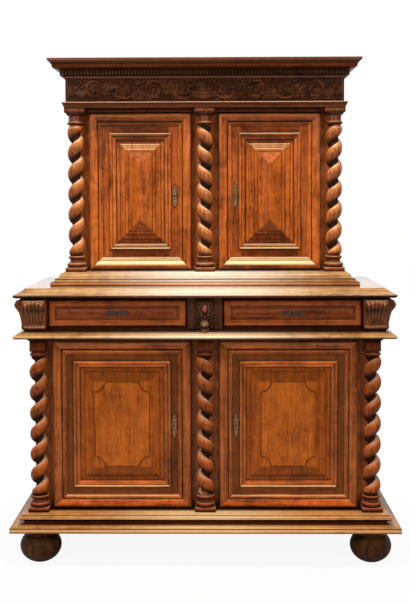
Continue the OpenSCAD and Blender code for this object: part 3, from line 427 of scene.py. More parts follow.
# %% Oak for the inside
OAK = [(0.30, (0.160, 0.078, 0.032)), (0.52, (0.310, 0.170, 0.076)), (0.72, (0.430, 0.265, 0.132))]


def oak(name, along):
    finish = Finish(name)
    grain = grain_space(finish, along)
    bands = finish.noise(grain, 38.0, 3.0, 0.6, 0.9)
    fibres = finish.noise(grain, 520.0, 2.0, 0.7)
    drift = finish.noise(finish.place, 2.3, 2.0)
    figure = bands * 0.5 + fibres * 0.3 + drift * 0.3 - 0.05
    colour = finish.add("ValToRGB", {"stops": OAK}, {0: figure})
    pores = finish.step(finish.noise(grain, 800.0, 2.0), 0.60, 0.70)
    colour = finish.colours("MULTIPLY", pores * 0.6, colour, (0.42, 0.32, 0.24))
    # Corners and grooves are darker, as painted shade.
    unoccluded = finish.step(hollow(finish, 0.05), 0.2, 0.95)
    colour = finish.colours("MULTIPLY", (1.0 - unoccluded) * 0.7, colour, (0.30, 0.22, 0.16))
    return finish.close(Base_Color=colour, Roughness=0.62 + fibres * 0.2,
                        Normal=finish.bump(0.3, 0.0006, fibres - pores * 0.7))


for along, parts in (("Z", ("lower_back", "upper_back")), ("X", ("lower_shelf", "upper_shelf")),
                     ("Y", ("drawer_left_box", "drawer_right_box"))):
    oak_wood = oak("oak_along_" + along, along)
    for node in parts:
        dress(node, oak_wood)
print("oak on backs, shelves and drawer boxes")

# %% [markdown]
# ## Iron and the pierced plates
# The locks, bolts and pins are dark iron with a little brown rust in the pits. Lock case and key plate are
# one CAD node, so the finish looks at the depth of a point: what lies in front of the door's face is the
# plate, an old brass that has gone brown and shines only where it is rubbed.

# %% Iron and old brass
IRON, RUST = (0.050, 0.046, 0.043), (0.090, 0.036, 0.015)
BROWN_BRASS = (0.040, 0.012, 0.003), (0.120, 0.042, 0.012)
RUBBED_BRASS = (0.520, 0.320, 0.160)
PLATE_DIRT = (0.03, 0.02, 0.012)
PLATE_RADIUS = 0.0012
SUNK_PLATE = 0.006


def metal(name, plate_y=None):
    finish = Finish(name)
    pits = finish.noise(finish.place, 240.0, 4.0, 0.65)
    clouds = finish.noise(finish.place, 60.0, 2.0)
    rust = finish.step(pits + clouds * 0.5, 0.72, 0.95)
    colour = finish.colours("MIX", rust * 0.7, IRON, RUST)
    shine = 0.75 - rust * 0.5
    if plate_y is not None:
        on_plate = finish.spot[1] < plate_y
        rub = rubbed_edge(finish, rounded(finish, PLATE_RADIUS))
        brass = finish.colours("MIX", clouds, *BROWN_BRASS)
        brass = finish.colours("MIX", rub * 0.6, brass, RUBBED_BRASS)
        brass = finish.colours("MIX", (1.0 - hollow(finish, 0.006)) * 0.8, brass, PLATE_DIRT)
        colour = finish.colours("MIX", on_plate, colour, brass)
        shine = finish.clamp(shine - on_plate * 0.40)
    return finish.close(Base_Color=colour, Metallic=shine, Roughness=0.30 + pits * 0.25,
                        Normal=finish.bump(0.35, 0.0004, pits))


iron = metal("dark_iron")
DOORS = [case + "_door_" + side for case in ("lower", "upper") for side in ("left", "right")]
DRAWERS = ["drawer_left", "drawer_right"]
for door in DOORS:
    dress(door + "_pins", iron)
    dress(door + "_bolt", iron)
    dress(door + "_lock", metal(door + "_plate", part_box(door + "_frame")[0].y))
for drawer in DRAWERS:
    dress(drawer + "_bolt", iron)
    dress(drawer + "_lock", metal(drawer + "_plate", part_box(drawer + "_front")[0].y + SUNK_PLATE))
print("metal finishes made")

# %% [markdown]
# ## Doors and drawer fronts
# The broad mouldings are the reddest wood on the cabinet. A finish can tell the members of a door apart by
# where a point lies: the distance to the side and the distance to the end are equal along a mitre line,
# and in a tenoned frame everything between the stiles is rail. Each door has its own centre, so each gets
# its own copy of the finish, with dark quirks, partly painted shade, and painted highlights along the
# members. The lower panels have a raised field with hollow corners. It is drawn here as well as cut in
# the CAD: the field is light, its margin a tone darker with painted shade above and below it, and the
# same hollow-cornered outline is worked out from the distance to the four corners.

# %% What a door's outline tells
QUIRK_DIRT_AND_SHADE = (0.16, 0.10, 0.07)
END_SHADE = (0.36, 0.30, 0.26)


def extra(rule):
    """Makes a method that takes a rule's measures now and its finish later."""
    return lambda ring, *measures, **named: lambda finish: rule(ring, finish, *measures, **named)


class Ring:
    """The outline of a framed piece. All its distances are in millimetres in from the outline."""

    def __init__(self, node):
        low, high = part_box(node)
        self.x, self.z = (low.x + high.x) / 2, (low.z + high.z) / 2
        self.half_w, self.half_h = (high.x - low.x) / 2, (high.z - low.z) / 2

    def inward(self, finish):
        """How far a point lies in from the nearer side and from the nearer end."""
        x, y, z = finish.spot
        return (self.half_w - abs(x - self.x)) * PER_MM, (self.half_h - abs(z - self.z)) * PER_MM

    def nearest(self, finish):
        side, end = self.inward(finish)
        return side.sum("MINIMUM", side, end)

    def member(self, finish, way):
        """1 on the top member where way is 1, and on the bottom one where it is -1."""
        side, end = self.inward(finish)
        z = finish.spot[2]
        return (side > end) * ((z > self.z) if way > 0 else (z < self.z))

    @extra
    def rails(self, finish, stile):
        """A mask of what lies between the stiles of a tenoned frame."""
        return self.inward(finish)[0] > stile

    @extra
    def mitred(self, finish, inner=0.0):
        """A mask of the top and bottom members of a mitred ring, and of all that is inside it from inner on."""
        side, end = self.inward(finish)
        return finish.clamp((side > end) + (side > inner) * (end > inner)) if inner else side > end

    @extra
    def lines(self, finish, dark, pale=()):
        """Dark quirks, dirt and painted shade, as (place, half width), and tints from a place inward as (place,
        strength, tint).
        """
        inward = self.nearest(finish)
        return ([(finish.stripe(inward, at, wide, 0.3) * 0.8, QUIRK_DIRT_AND_SHADE) for at, wide in dark]
                + [(finish.step(inward, start, start + 2.0) * strength, tint) for start, strength, tint in pale])

    @extra
    def glints(self, finish, *lines):
        """Painted highlights as pale lines, as (place, half width, strength, way): way is 0 for all four members."""
        inward = self.nearest(finish)
        return [finish.stripe(inward, at, wide, 0.3) * (self.member(finish, way) if way else 1.0) * strength
                for at, wide, strength, way in lines]

    @extra
    def ends(self, finish, *bands):
        """Painted shade on the top or bottom member between two places, as (from, to, strength, way)."""
        end = self.inward(finish)[1]
        return [((end > low) * (end < high) * self.member(finish, way) * strength, END_SHADE)
                for low, high, strength, way in bands]

    @extra
    def field(self, finish, inset, corner_r):
        """A lighter field with hollow corners: painted shade above and below it, a darker margin beside it, and a
        dark line round it.
        """
        dx, dz = [distance - inset for distance in self.inward(finish)]
        corner = (dx * dx + dz * dz) ** 0.5 - corner_r
        beyond = finish.step(0.0 - dz, 0.0, 6.0) * (dx > dz)
        beside = finish.step(0.0 - dx, 0.0, 6.0) * (dx < dz)
        scribed = finish.step(abs(corner), 2.6, 0.9) * (dx > -1.0) * (dz > -1.0)
        border = finish.step(abs(dx), 2.0, 0.8) * (dz > 0.0) + finish.step(abs(dz), 2.0, 0.8) * (dx > 0.0)
        line = finish.clamp(scribed + border * (corner > 0.0) + border * 0.25)
        return [(beyond * 0.8, (0.42, 0.39, 0.34)), (beside * 0.7, (0.62, 0.55, 0.50)),
                (line * 0.75, (0.25, 0.18, 0.14))]


# %% Dress the doors
STILE = 96.0
QUIRKS = ((1.0, 3.2), (40.0, 2.4), (57.5, 1.6), (86.0, 2.2), (98.5, 1.4), (115.5, 2.2))
TOP_SHADOW = (923.0, 7.5, 0.85, (0.30, 0.11, 0.05))
# The rails and mitred tints of the lying members are partly their cross grain, partly painted light on the lower
# doors and painted shade on the upper ones; the glints are painted highlights.
DOOR_LOOKS = {
    "lower": {"frame": tones(0.135, 0.036, 0.006, 0.5), "moulding": tones(0.30, 0.070, 0.010, 0.75),
              "spec": 0.10, "rails": (1.25, 1.1, 1.0), "mitred": (1.7, 1.5, 1.4),
              "glints": ((52.0, 3.0, 0.5, -1), (94.5, 3.0, 0.9, -1), (87.5, 2.2, 0.12, 1), (14.0, 9.0, 0.16, 1))},
    "upper": {"frame": tones(0.31, 0.065, 0.009, 0.75), "moulding": tones(0.41, 0.092, 0.012, 0.8),
              "spec": 0.20, "rails": (0.55, 0.48, 0.42), "mitred": (0.60, 0.54, 0.50),
              "glints": ((35.0, 18.0, 1.0, -1), (52.0, 2.8, 0.8, -1), (94.5, 3.2, 0.9, -1), (108.0, 6.0, 0.3, -1),
                         (87.5, 2.6, 0.85, 1), (12.0, 6.0, 0.12, 1))},
}
for door in DOORS:
    look = DOOR_LOOKS[door.split("_")[0]]
    ring = Ring(door + "_frame")
    door_extras = {"across": "X", "shade": ring.lines(QUIRKS), "glints": ring.glints(*look["glints"])}
    wood(door + "_frame", look["frame"], mask=ring.rails(STILE), reach=0.012, spec=look["spec"],
         lying=look["rails"], **door_extras)
    wood(door + "_moulding", look["moulding"], mask=ring.mitred(), reach=0.010, lying=look["mitred"],
         lines=level_lines(TOP_SHADOW), **door_extras)
    if door.startswith("lower"):
        wood(door + "_panel", tones(0.41, 0.092, 0.007, 0.5), band=95.0, reach=0.010, spec=0.12,
             shade=ring.field(inset=176.0, corner_r=44.0))
    else:
        steps = ring.lines(((117.0, 2.0), (131.5, 1.4), (153.5, 1.4), (168.0, 1.6)))
        ends = ring.ends((100.0, 131.0, 0.8, 1), (100.0, 152.0, 0.85, -1), (152.0, 168.0, 0.6, -1))
        wood(door + "_panel", tones(0.40, 0.085, 0.009, 0.7), band=80.0, reach=0.010, shade=both(steps, ends),
             glints=ring.glints((132.5, 2.6, 0.85, 1), (143.0, 9.0, 0.25, 1), (153.5, 2.4, 0.9, 1)))
print("doors dressed:", len(DOORS))

# %% Dress the drawer fronts
for drawer in DRAWERS:
    ring = Ring(drawer + "_front")
    # The lying tint warms the top and bottom members and the inner panel, as painted light, and the glints are
    # painted highlights.
    wood(drawer + "_front", tones(0.30, 0.066, 0.012, 0.7), across="X", mask=ring.mitred(inner=30.0), reach=0.010,
         shade=ring.lines(((0.8, 1.4), (30.5, 2.0), (41.0, 1.2)), ((30.0, 0.8, (0.46, 0.38, 0.30)),)),
         lying=(1.1, 1.0, 0.9), glint=(0.80, 0.42, 0.18),
         glints=ring.glints((43.5, 1.6, 0.26, 0), (12.0, 5.0, 0.10, -1), (27.0, 2.4, 0.10, 1)))
print("drawer fronts dressed:", len(DRAWERS))

# %% [markdown]
# ## Meshes
# Turned and carved pieces are built as grids of points. One helper turns points and faces into a piece,
# smooths it, keeps its real edges sharp, gives it a finish and lets it ride on its body.

# %% Arcs and objects
def arc(cx, cz, r, a0, a1, n):
    """Points of an arc, from angle a0 to a1 in n steps."""
    return [(cx + r * math.cos(math.radians(a0 + (a1 - a0) * i / n)),
             cz + r * math.sin(math.radians(a0 + (a1 - a0) * i / n))) for i in range(n + 1)]


def put(name, data, at=(0.0, 0.0, 0.0)):
    """A new object in the scene."""
    made = bpy.data.objects.new(name, data)
    made.location = at
    bpy.context.scene.collection.objects.link(made)
    return made


# %% Turn rows of points into a piece
class Shape:
    """Gathers the points and faces of one piece."""

    def __init__(self):
        self.points = []
        self.faces = []

    def grid(self, rows, closed=False, flip=False):
        """Skins rows of points. closed joins each row's end to its start."""
        start = len(self.points)
        count = len(rows[0])
        for row in rows:
            self.points.extend(tuple(p) for p in row)
        for i in range(len(rows) - 1):
            for j in range(count if closed else count - 1):
                a = start + i * count + j
                b = start + i * count + (j + 1) % count
                face = (a, b, b + count, a + count)
                self.faces.append(face[::-1] if flip else face)

    def tube(self, rows):
        """Closed rows, from the bottom up, with a face over both ends."""
        first = len(self.points)
        self.grid(rows, closed=True)
        last = len(self.points)
        count = len(rows[0])
        self.faces += [tuple(range(first, first + count))[::-1], tuple(range(last - count, last))]

    def lathe(self, outline, sides=56):
        """Turns an outline of (radius, height) points, from the bottom up."""
        angles = [2 * math.pi * k / sides for k in range(sides)]
        self.tube([[(r * math.cos(a), r * math.sin(a), z) for a in angles] for r, z in outline])

    def block(self, low, high, chamfer=0.0015):
        """A block with its twelve edges taken off."""
        c = chamfer
        rings = []
        for z, inset in ((low[2], c), (low[2] + c, 0.0), (high[2] - c, 0.0), (high[2], c)):
            x0, x1, y0, y1 = low[0] + inset, high[0] - inset, low[1] + inset, high[1] - inset
            rings.append([(x0 + c, y0, z), (x1 - c, y0, z), (x1, y0 + c, z), (x1, y1 - c, z),
                          (x1 - c, y1, z), (x0 + c, y1, z), (x0, y1 - c, z), (x0, y0 + c, z)])
        self.tube(rings)

    def piece(self, name, finish, body, at=(0.0, 0.0, 0.0), sharp=60.0):
        """Makes the gathered points a piece with its finish that rides on a body."""
        mesh = bpy.data.meshes.new(name)
        mesh.from_pydata([Vector(p) for p in self.points], [], self.faces)
        mesh.validate()
        mesh.shade_smooth()
        mesh.set_sharp_from_angle(angle=math.radians(sharp))
        mesh.materials.append(finish)
        made = put(name, mesh, at)
        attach(made, body)
        print(name, "faces", len(mesh.polygons))
        return made


# %% [markdown]
# ## Barley-twist columns
# A barley twist is one fat rounded strand that winds up the column. A turner marks the spiral on a
# cylinder, saws along it and rounds the strand with rasps, and a thinner core stays in the groove. Here
# each ring of points is the column's cross-section, turned a little further than the ring below. At both
# ends the strand fades into a round neck. The finish paints shade into the groove, which shows as a
# smaller distance from the axis, and that is why each column's own origin lies on its axis.

# %% Measures of the columns
COLUMNS = {
    "lower": {"tone": tones(0.27, 0.056, 0.008, 0.7), "coat": 0.08, "spec": 0.10, "top_highlight": 0.42, "radius": 0.0385,
              "neck": 0.010, "groove": 0.58, "block": 0.086, "cap": 0.046, "collar": 0.014},
    "upper": {"tone": tones(0.35, 0.088, 0.017, 0.7), "coat": 0.14, "spec": 0.22, "top_highlight": 0.62, "radius": 0.0355,
              "neck": 0.009, "groove": 0.48, "block": 0.087, "cap": 0.020, "collar": 0.043},
}
STRAND_SHARE = 0.74
DOWEL, RING_Z, FADE = 0.014, 0.060, 0.006
PITCH = {"left": 0.087, "centre": 0.0825, "right": 0.087}
PHASE = {("lower", "left"): 2.0, ("lower", "centre"): 335.0, ("lower", "right"): 341.0,
         ("upper", "left"): 332.0, ("upper", "centre"): 165.0, ("upper", "right"): 48.0}
print("columns to turn:", len(PHASE))


# %% Rings of a twist
def twisted_rows(z0, height, r, neck, groove, pitch, turn_way, phase, sides=72, per_turn=40):
    """Rings of a one-strand twist that fades to a round neck at both ends."""
    steps = int(math.ceil(height / pitch * per_turn))
    rows = []
    for i in range(steps + 1):
        z = height * i / steps
        e = min(1.0, min(z, height - z) / (0.3 * pitch))
        blend = e * e * (3 - 2 * e)
        row = []
        for j in range(sides):
            a = 2 * math.pi * j / sides
            off = abs(a / math.pi - 1) / STRAND_SHARE
            full = r * (1 - groove * (1 - math.sqrt(max(0.0, 1 - off * off))))
            turn = a + turn_way * 2 * math.pi * z / pitch + math.radians(phase)
            radius = neck + (full - neck) * blend
            row.append((radius * math.cos(turn), radius * math.sin(turn), z0 + z))
        rows.append(row)
    return rows


# %% The wood of a column
def turned_wood(node, size, low_z, high_z):
    """The wood of one column. Its groove is dark with painted shade and rough, and the rings at the twist's two ends
    are dark and rough too.
    """
    r = size["radius"]

    def out(finish):
        x, y, z = finish.spot
        return (x * x + y * y) ** 0.5

    # Painted shade: the groove is dark.
    def groove(finish):
        z = finish.spot[2]
        deep = 1.0 - finish.step(out(finish), r * 0.54, r * 0.82)
        return [(deep * ((z > low_z) * (z < high_z)) * 0.96, (0.05, 0.03, 0.02))]

    def dull(finish):
        return (1.0 - finish.step(out(finish), r * 0.60, r * 0.86)) * 0.6

    def ends(finish):
        z = finish.spot[2]
        along_twist = finish.step(z, low_z, low_z + 0.012) * (1.0 - finish.step(z, high_z - 0.012, high_z))
        return [((1.0 - along_twist) * 0.9, (0.44, 0.33, 0.26))]

    return walnut(node + "_walnut", size["tone"], wear=0.8, coat=size["coat"], spec=size["spec"], gloss=0.24,
                  band=60.0, reach=0.014, top_highlight=size["top_highlight"], under=0.80, dull=dull, shade=groove, lines=ends)


# %% Stack a column from its blocks, rings and twist
def column(case, side):
    node = case + "_column_" + side
    low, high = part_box(node)
    size = COLUMNS[case]
    height = high.z - low.z - 2 * DOWEL
    half, r = size["block"] / 2, size["radius"]
    neck, top = r - size["neck"], height - size["cap"]
    shaft_h = top - size["collar"] - RING_Z
    shape = Shape()
    shape.block((-half, -half, 0.0), (half, half, 0.018))
    shape.lathe([(half - 0.004, 0.0175)] + arc(half - 0.011, 0.028, 0.010, -80, 84, 14)
                + [(half - 0.013, 0.0385), (r - 0.004, 0.0400), (r - 0.0062, 0.0430), (r - 0.007, 0.047),
                   (r - 0.0062, 0.0510), (r - 0.0045, 0.0535)]
                + arc(r - 0.005, RING_Z, 0.006, -85, 85, 12) + [(r - 0.008, RING_Z + 0.0065)])
    way = -1 if side == "centre" else 1
    shape.tube(twisted_rows(RING_Z, shaft_h, r, neck, size["groove"], PITCH[side], way, PHASE[case, side]))
    if case == "upper":
        shape.lathe([(neck, top - 0.0495)] + arc(r - 0.005, top - 0.043, 0.006, -85, 85, 12)
                    + [(r - 0.0050, top - 0.0362), (r - 0.0052, top - 0.012), (r - 0.0010, top - 0.0104)]
                    + arc(r - 0.001, top, 0.007, -68, 0, 8) + [(r + 0.006, top + 0.0005)])
        shape.block((-half, -half, top), (half, half, height))
    else:
        shape.lathe([(neck, top - 0.0205)] + arc(r - 0.008, top - 0.014, 0.006, -85, 85, 12)
                    + [(r - 0.009, top - 0.0068), (r - 0.009, top + 0.0005)])
        shape.block((-0.032, -0.032, top), (0.032, 0.032, height))
    finish = turned_wood(node, size, RING_Z + FADE, RING_Z + shaft_h - FADE)
    at = ((low.x + high.x) / 2, (low.y + high.y) / 2, low.z + DOWEL)
    made = shape.piece("turned_" + node, finish, case + "_case", at=at, sharp=50.0)
    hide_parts(node)


for case in COLUMNS:
    for side in PITCH:
        column(case, side)

# %% [markdown]
# ## Carving as a height map
# Low relief is a height over a flat board. Each stem, leaf lobe or petal is a stroke of round beads that
# overlap, with a width and a height at each bead, and the highest bead wins, much as a carver leaves one
# form standing over the next. The heights then lift a fine grid of points.

# %% Strokes and heights
LIFT = "lift"
FULL_LIFT = 0.005


def measured(points):
    """The points as an array, and how far along the line each of them lies."""
    points = np.array(points, float)
    return points, np.r_[0, np.cumsum(np.hypot(*np.diff(points, axis=0).T))]


def slopes(line):
    """The direction of a line at each of its points."""
    slope = np.gradient(line, axis=0)
    return slope / np.linalg.norm(slope, axis=1)[:, None]


def stroke(points, widths, heights, step=0.0009):
    """Beads (x, z, half width, height) along a smooth line through the points."""
    points, legs = measured(points)
    t = np.linspace(0, legs[-1], max(3, int(legs[-1] / step)))
    spread = [np.interp(t / legs[-1], np.linspace(0, 1, len(values)), values) for values in (widths, heights)]
    return np.c_[np.interp(t, legs, points[:, 0]), np.interp(t, legs, points[:, 1]), spread[0], spread[1]]


def bend(start, end, bulge, n=14):
    """A line from start to end that bulges sideways by a share of its length."""
    (x0, z0), (x1, z1) = start, end
    return [(x0 + (x1 - x0) * t - (z1 - z0) * bulge * math.sin(math.pi * t),
             z0 + (z1 - z0) * t + (x1 - x0) * bulge * math.sin(math.pi * t))
            for t in np.linspace(0, 1, n)]


# %% Lift a board by its heights
def heights(xs, zs, strokes):
    """Height over the grid of xs and zs, with the strokes standing on it."""
    field = np.zeros((len(xs), len(zs)))
    X, Z = np.meshgrid(xs, zs, indexing="ij")
    for x, z, half, tall in np.concatenate(strokes):
        i0, i1 = np.searchsorted(xs, [x - half, x + half])
        j0, j1 = np.searchsorted(zs, [z - half, z + half])
        near = (X[i0:i1, j0:j1] - x) ** 2 + (Z[i0:i1, j0:j1] - z) ** 2
        bead = tall * np.sqrt(np.clip(1 - near / half ** 2, 0, None))
        field[i0:i1, j0:j1] = np.maximum(field[i0:i1, j0:j1], bead)
    return field


def relief(name, xs, zs, field, origin, across, out, finish, body, skirt=0.001):
    """A carved board: the field lifts a grid along out, and a skirt closes its rim."""
    origin, across, out = Vector(origin), Vector(across), Vector(out)
    up = Vector((0, 0, 1))
    xs, zs = np.pad(xs, 1, mode="edge"), np.pad(zs, 1, mode="edge")
    field = np.pad(field, 1, constant_values=-skirt)
    field[[0, 0, -1, -1], [0, -1, 0, -1]] = -2 * skirt
    shape = Shape()
    shape.grid([[origin + across * x + up * z + out * h for z, h in zip(zs, line)] for x, line in zip(xs, field)],
               flip=across.cross(up).dot(out) < 0)
    made = shape.piece(name, finish, body)
    lift = made.data.attributes.new(LIFT, "FLOAT", "POINT")
    lift.data.foreach_set("value", [max(0.0, (Vector(p) - origin).dot(out)) / FULL_LIFT for p in shape.points])
    return made


# %% [markdown]
# ## The frieze
# Leafy scrolls run out from the middle of the frieze to both ends: a wavy stem, a spiral in each of its
# hollows that turns the other way each time, leaves in the corners and a small flower in each eye. It is
# an old, common pattern. The same cells carry on round the sides.

# %% Leaves and flowers
def leaf(x, z, angle, length, curl=0.25, tall=0.0040, lobes=5):
    """A leaf of fanned lobes that starts at x, z and points along angle in degrees."""
    made = []
    for k in range(lobes):
        share = (k - (lobes - 1) / 2) / max(1, (lobes - 1) / 2)
        a = math.radians(angle + 56 * share)
        reach = length * (1 - 0.36 * abs(share))
        tip = (x + reach * math.cos(a), z + reach * math.sin(a))
        wide = length * (0.115 if lobes > 3 else 0.15)
        made.append(stroke(bend((x, z), tip, curl * (share if share else 0.3)),
                           (wide * 0.5, wide, wide * 0.95, wide * 0.25), (tall * 0.7, tall, tall * 0.9, tall * 0.5)))
    return made


def flower(x, z, r, tall=0.0050):
    """Five petals round a bead."""
    made = [stroke(bend((x, z), (x + r * math.cos(a), z + r * math.sin(a)), 0.0),
                   (r * 0.25, r * 0.42, r * 0.30), (tall * 0.5, tall * 0.85, tall * 0.4))
            for a in [math.radians(90 + 72 * k) for k in range(5)]]
    return made + [stroke([(x, z), (x + 1e-4, z)], (r * 0.3, r * 0.3), (tall, tall))]


# %% One hollow of the stem
def scroll_cell(cx, cz, length, way, up):
    """One hollow of the stem with its spiral. way is +1 where the run goes to +x, up is +1 for a spiral above."""

    def at(right, rise):
        return cx + way * right, cz + up * rise

    def spiral(t, turns=1.6, outer=0.0370, inner=0.0070):
        a = math.radians(-118 + 360 * turns * t)
        r = outer * (1 - t) ** 0.9 + inner * t
        return a, at(r * math.cos(a), r * math.sin(a))

    stem = [at(length * t, -0.038 * math.cos(math.pi * t)) for t in np.linspace(-0.5, 0.5, 26)]
    made = [stroke(stem, (0.0030, 0.0038, 0.0030), (0.0040, 0.0048, 0.0040)),
            stroke([spiral(t)[1] for t in np.linspace(0, 1, 80)],
                   (0.0038, 0.0036, 0.0030, 0.0034), (0.0050, 0.0048, 0.0042, 0.0048))]
    made += flower(cx, cz, 0.0080)
    for t, size in ((0.06, 0.019), (0.14, 0.018), (0.23, 0.020), (0.32, 0.019), (0.42, 0.016), (0.53, 0.013)):
        a, point = spiral(t)
        aim = math.degrees(math.atan2(up * math.sin(a + 0.75), way * math.cos(a + 0.75)))
        made += leaf(*point, aim, size, curl=0.3 * way * up, lobes=3)
    for right, rise, angle, size, curl, lobes in (
            (0.42 * length, 0.002, 90 * up - way * up * 20, 0.040, 0.22, 7),
            (0.42 * length + 0.020, -0.006, -90 * up + way * up * 40, 0.024, 0.2, 5),
            (-0.40 * length, -0.014, -90 * up + way * up * 66, 0.026, 0.25, 5),
            (0.16 * length, -0.036, -90 * up + way * up * 84, 0.020, 0.25, 3)):
        made += leaf(*at(right, rise), angle, size, curl=curl, lobes=lobes)
    return made


# %% Fill a run of the frieze
frieze_low, frieze_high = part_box("frieze")
frieze_h = frieze_high.z - frieze_low.z
middle_z = frieze_h / 2
BORDER = 0.003
CELL = 0.126
LEAF_EVERY = 0.0036
LEAF_SEED, PUNCH_SEED = 11, 7
GROUND_DIRT_AND_SHADE = (0.15, 0.17, 0.11)
print("frieze", round(frieze_h * PER_MM), "mm high")


def small_leaves(x0, x1, count):
    """Little leaves at all angles that fill the ground between the scrolls."""
    chance = np.random.default_rng(LEAF_SEED)
    made = []
    for k in range(count):
        x = x0 + (x1 - x0) * (k + chance.random()) / count
        z = 0.010 + (frieze_h - 0.020) * chance.random()
        made += leaf(x, z, 360 * chance.random(), 0.014 + 0.010 * chance.random(), curl=0.3 * chance.random(),
                     tall=0.0034 + 0.0022 * chance.random(), lobes=3)
    return made


def carved_run(xs, zs, cells, ground=0.0004, border=0.0034):
    """A run of carving between two plain rims, with the marks of the punch on its ground."""
    strokes = sum(cells, []) + small_leaves(xs[0], xs[-1], int((xs[-1] - xs[0]) / LEAF_EVERY))
    field = heights(xs, zs, strokes)
    grain = np.random.default_rng(PUNCH_SEED).random(field.shape)
    field = np.maximum(field, ground) + (grain - 0.5) * 0.0004
    field[:, (zs < BORDER) | (zs > frieze_h - BORDER)] = border
    field[(xs < xs[0] + 0.008) | (xs > xs[-1] - 0.008)] = border
    return field


def ground_shade(finish):
    """Darkens the ground of a carving by how far each point stands out, as dirt and painted shade."""
    lift = finish.add("Attribute", {"attribute_name": LIFT}, out=2)
    return [((1.0 - finish.step(lift, 0.25, 1.05)) * 0.80, GROUND_DIRT_AND_SHADE)]


# %% Carve the front and the two sides
carved_wood = walnut("carved_walnut", tones(0.098, 0.026, 0.006, 0.9), along="X", grime_and_shade=0.97, reach=0.007, wear=0.22,
                     spec=0.08, shade=ground_shade, glints=level_glints((2022.6, 1.6, 0.20)),
                     glint=(0.70, 0.30, 0.18))
palmette = leaf(0.0, 0.016, 90, 0.066, curl=0.18, lobes=9) + flower(0.0, 0.018, 0.012)
cells = [scroll_cell(way * (0.026 + CELL * (k + 0.5)), middle_z, CELL, way, 1 if k % 2 == 0 else -1)
         for way in (-1, 1) for k in range(4)]
ends = [leaf(way * 0.562, middle_z, 90 - way * 90, 0.030, curl=0.2, lobes=7) for way in (-1, 1)]
xs = np.arange(-frieze_high.x + 0.0004, frieze_high.x - 0.0002, 0.0013)
zs = np.linspace(0.0010, frieze_h - 0.0010, 76)
relief("frieze_carving_front", xs, zs, carved_run(xs, zs, cells + ends + [palmette]),
       (0, frieze_low.y, frieze_low.z), (1, 0, 0), (0, -1, 0), carved_wood, "upper_case")
ys = np.arange(0.0004, frieze_high.y - frieze_low.y - 0.0002, 0.0015)
cells = [scroll_cell(CELL * 0.5 + 0.022 + CELL * k, middle_z, CELL, 1, 1 if k % 2 else -1) for k in range(2)]
cells.append(leaf(0.300, middle_z, 0, 0.060, lobes=7) + flower(0.300, middle_z, 0.010))
field = carved_run(ys, zs, cells)
for side, way in (("left", -1), ("right", 1)):
    relief("frieze_carving_" + side, ys, zs, field, (way * frieze_high.x, frieze_low.y, frieze_low.z),
           (0, 1, 0), (way, 0, 0), carved_wood, "upper_case")

# %% [markdown]
# ## The corner consoles
# Each front corner of the drawer storey has a scrolled console: a small roll at the foot, a hollow neck and
# a big roll at the head, with five fluted leaves up its face. The face is a sheet bent along the scroll's
# outline, and the leaves lift it along its own normal, so that they follow the bend.

# %% The scroll and its leaves
storey_low, storey_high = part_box("drawer_case")
storey_z, storey_h = storey_low.z, storey_high.z - storey_low.z
DRAWN_H = 0.137
CONSOLE_OUT, BRACKET_OUT = 0.032, 0.024
print("drawer storey", round(storey_h * PER_MM), "mm high")


def scroll_line(out, count=110):
    """Even points (out, up) along the face of a scroll, from its foot to its head."""
    raw, legs = measured(arc(0.0, 0.012, 0.009, -85, 50, 16) + [(0.0052, 0.030), (0.0066, 0.042), (0.0090, 0.056),
                         (0.0120, 0.068), (0.0160, 0.080)] + arc(out - 0.022, 0.108, 0.022, -30, 84, 20)
                         + [(out - 0.0225, 0.1315)])
    t = np.linspace(0, legs[-1], count)
    line = np.c_[np.interp(t, legs, raw[:, 0]), np.interp(t, legs, raw[:, 1])]
    for _ in range(3):
        line[1:-1] = (line[:-2] + 2 * line[1:-1] + line[2:]) / 4
    return line


def leaf_lift(u, z, ribs=5):
    """How far the leaves stand out, at u from -1 to 1 across and z up the scroll."""
    t = (z - 0.018) / 0.106
    q = u / (0.60 + 0.34 * min(1.0, max(0.0, t)))
    lift = 0.0
    if 0.0 < t < 1.05 and abs(q) < 1.0:
        f = 2 * (((q + 1) / 2 * ribs) % 1.0) - 1
        tip = 1.0 - 0.16 * f ** 2 - 0.10 * abs(q)
        rise = min(1.0, t / 0.15) * min(1.0, max(0.0, (tip - t) / 0.07))
        vein = max(0.0, 1 - abs(f) / 0.16)
        lift = (0.0072 * math.sqrt(max(0.0, 1 - f ** 2)) - 0.0018 * vein) * rise
    if abs(u) > 0.94 and 0.016 < z < 0.124:
        lift = max(lift, 0.0022)
    return lift


def scroll_rows(width, out):
    """Rows of (across, out, up) points of a scroll's face."""
    line = scroll_line(out)
    line[:, 1] *= storey_h / DRAWN_H
    rows = []
    for (o, z), (so, sz) in zip(line, slopes(line)):
        row = []
        for u in np.linspace(-1, 1, 61):
            rise = leaf_lift(u, z) - 0.0022 * max(0.0, (abs(u) - 0.955) / 0.045) ** 2
            row.append((u * width / 2, o + sz * rise, z - so * rise))
        rows.append([(-width / 2, -0.004, z)] + row + [(width / 2, -0.004, z)])
    return rows


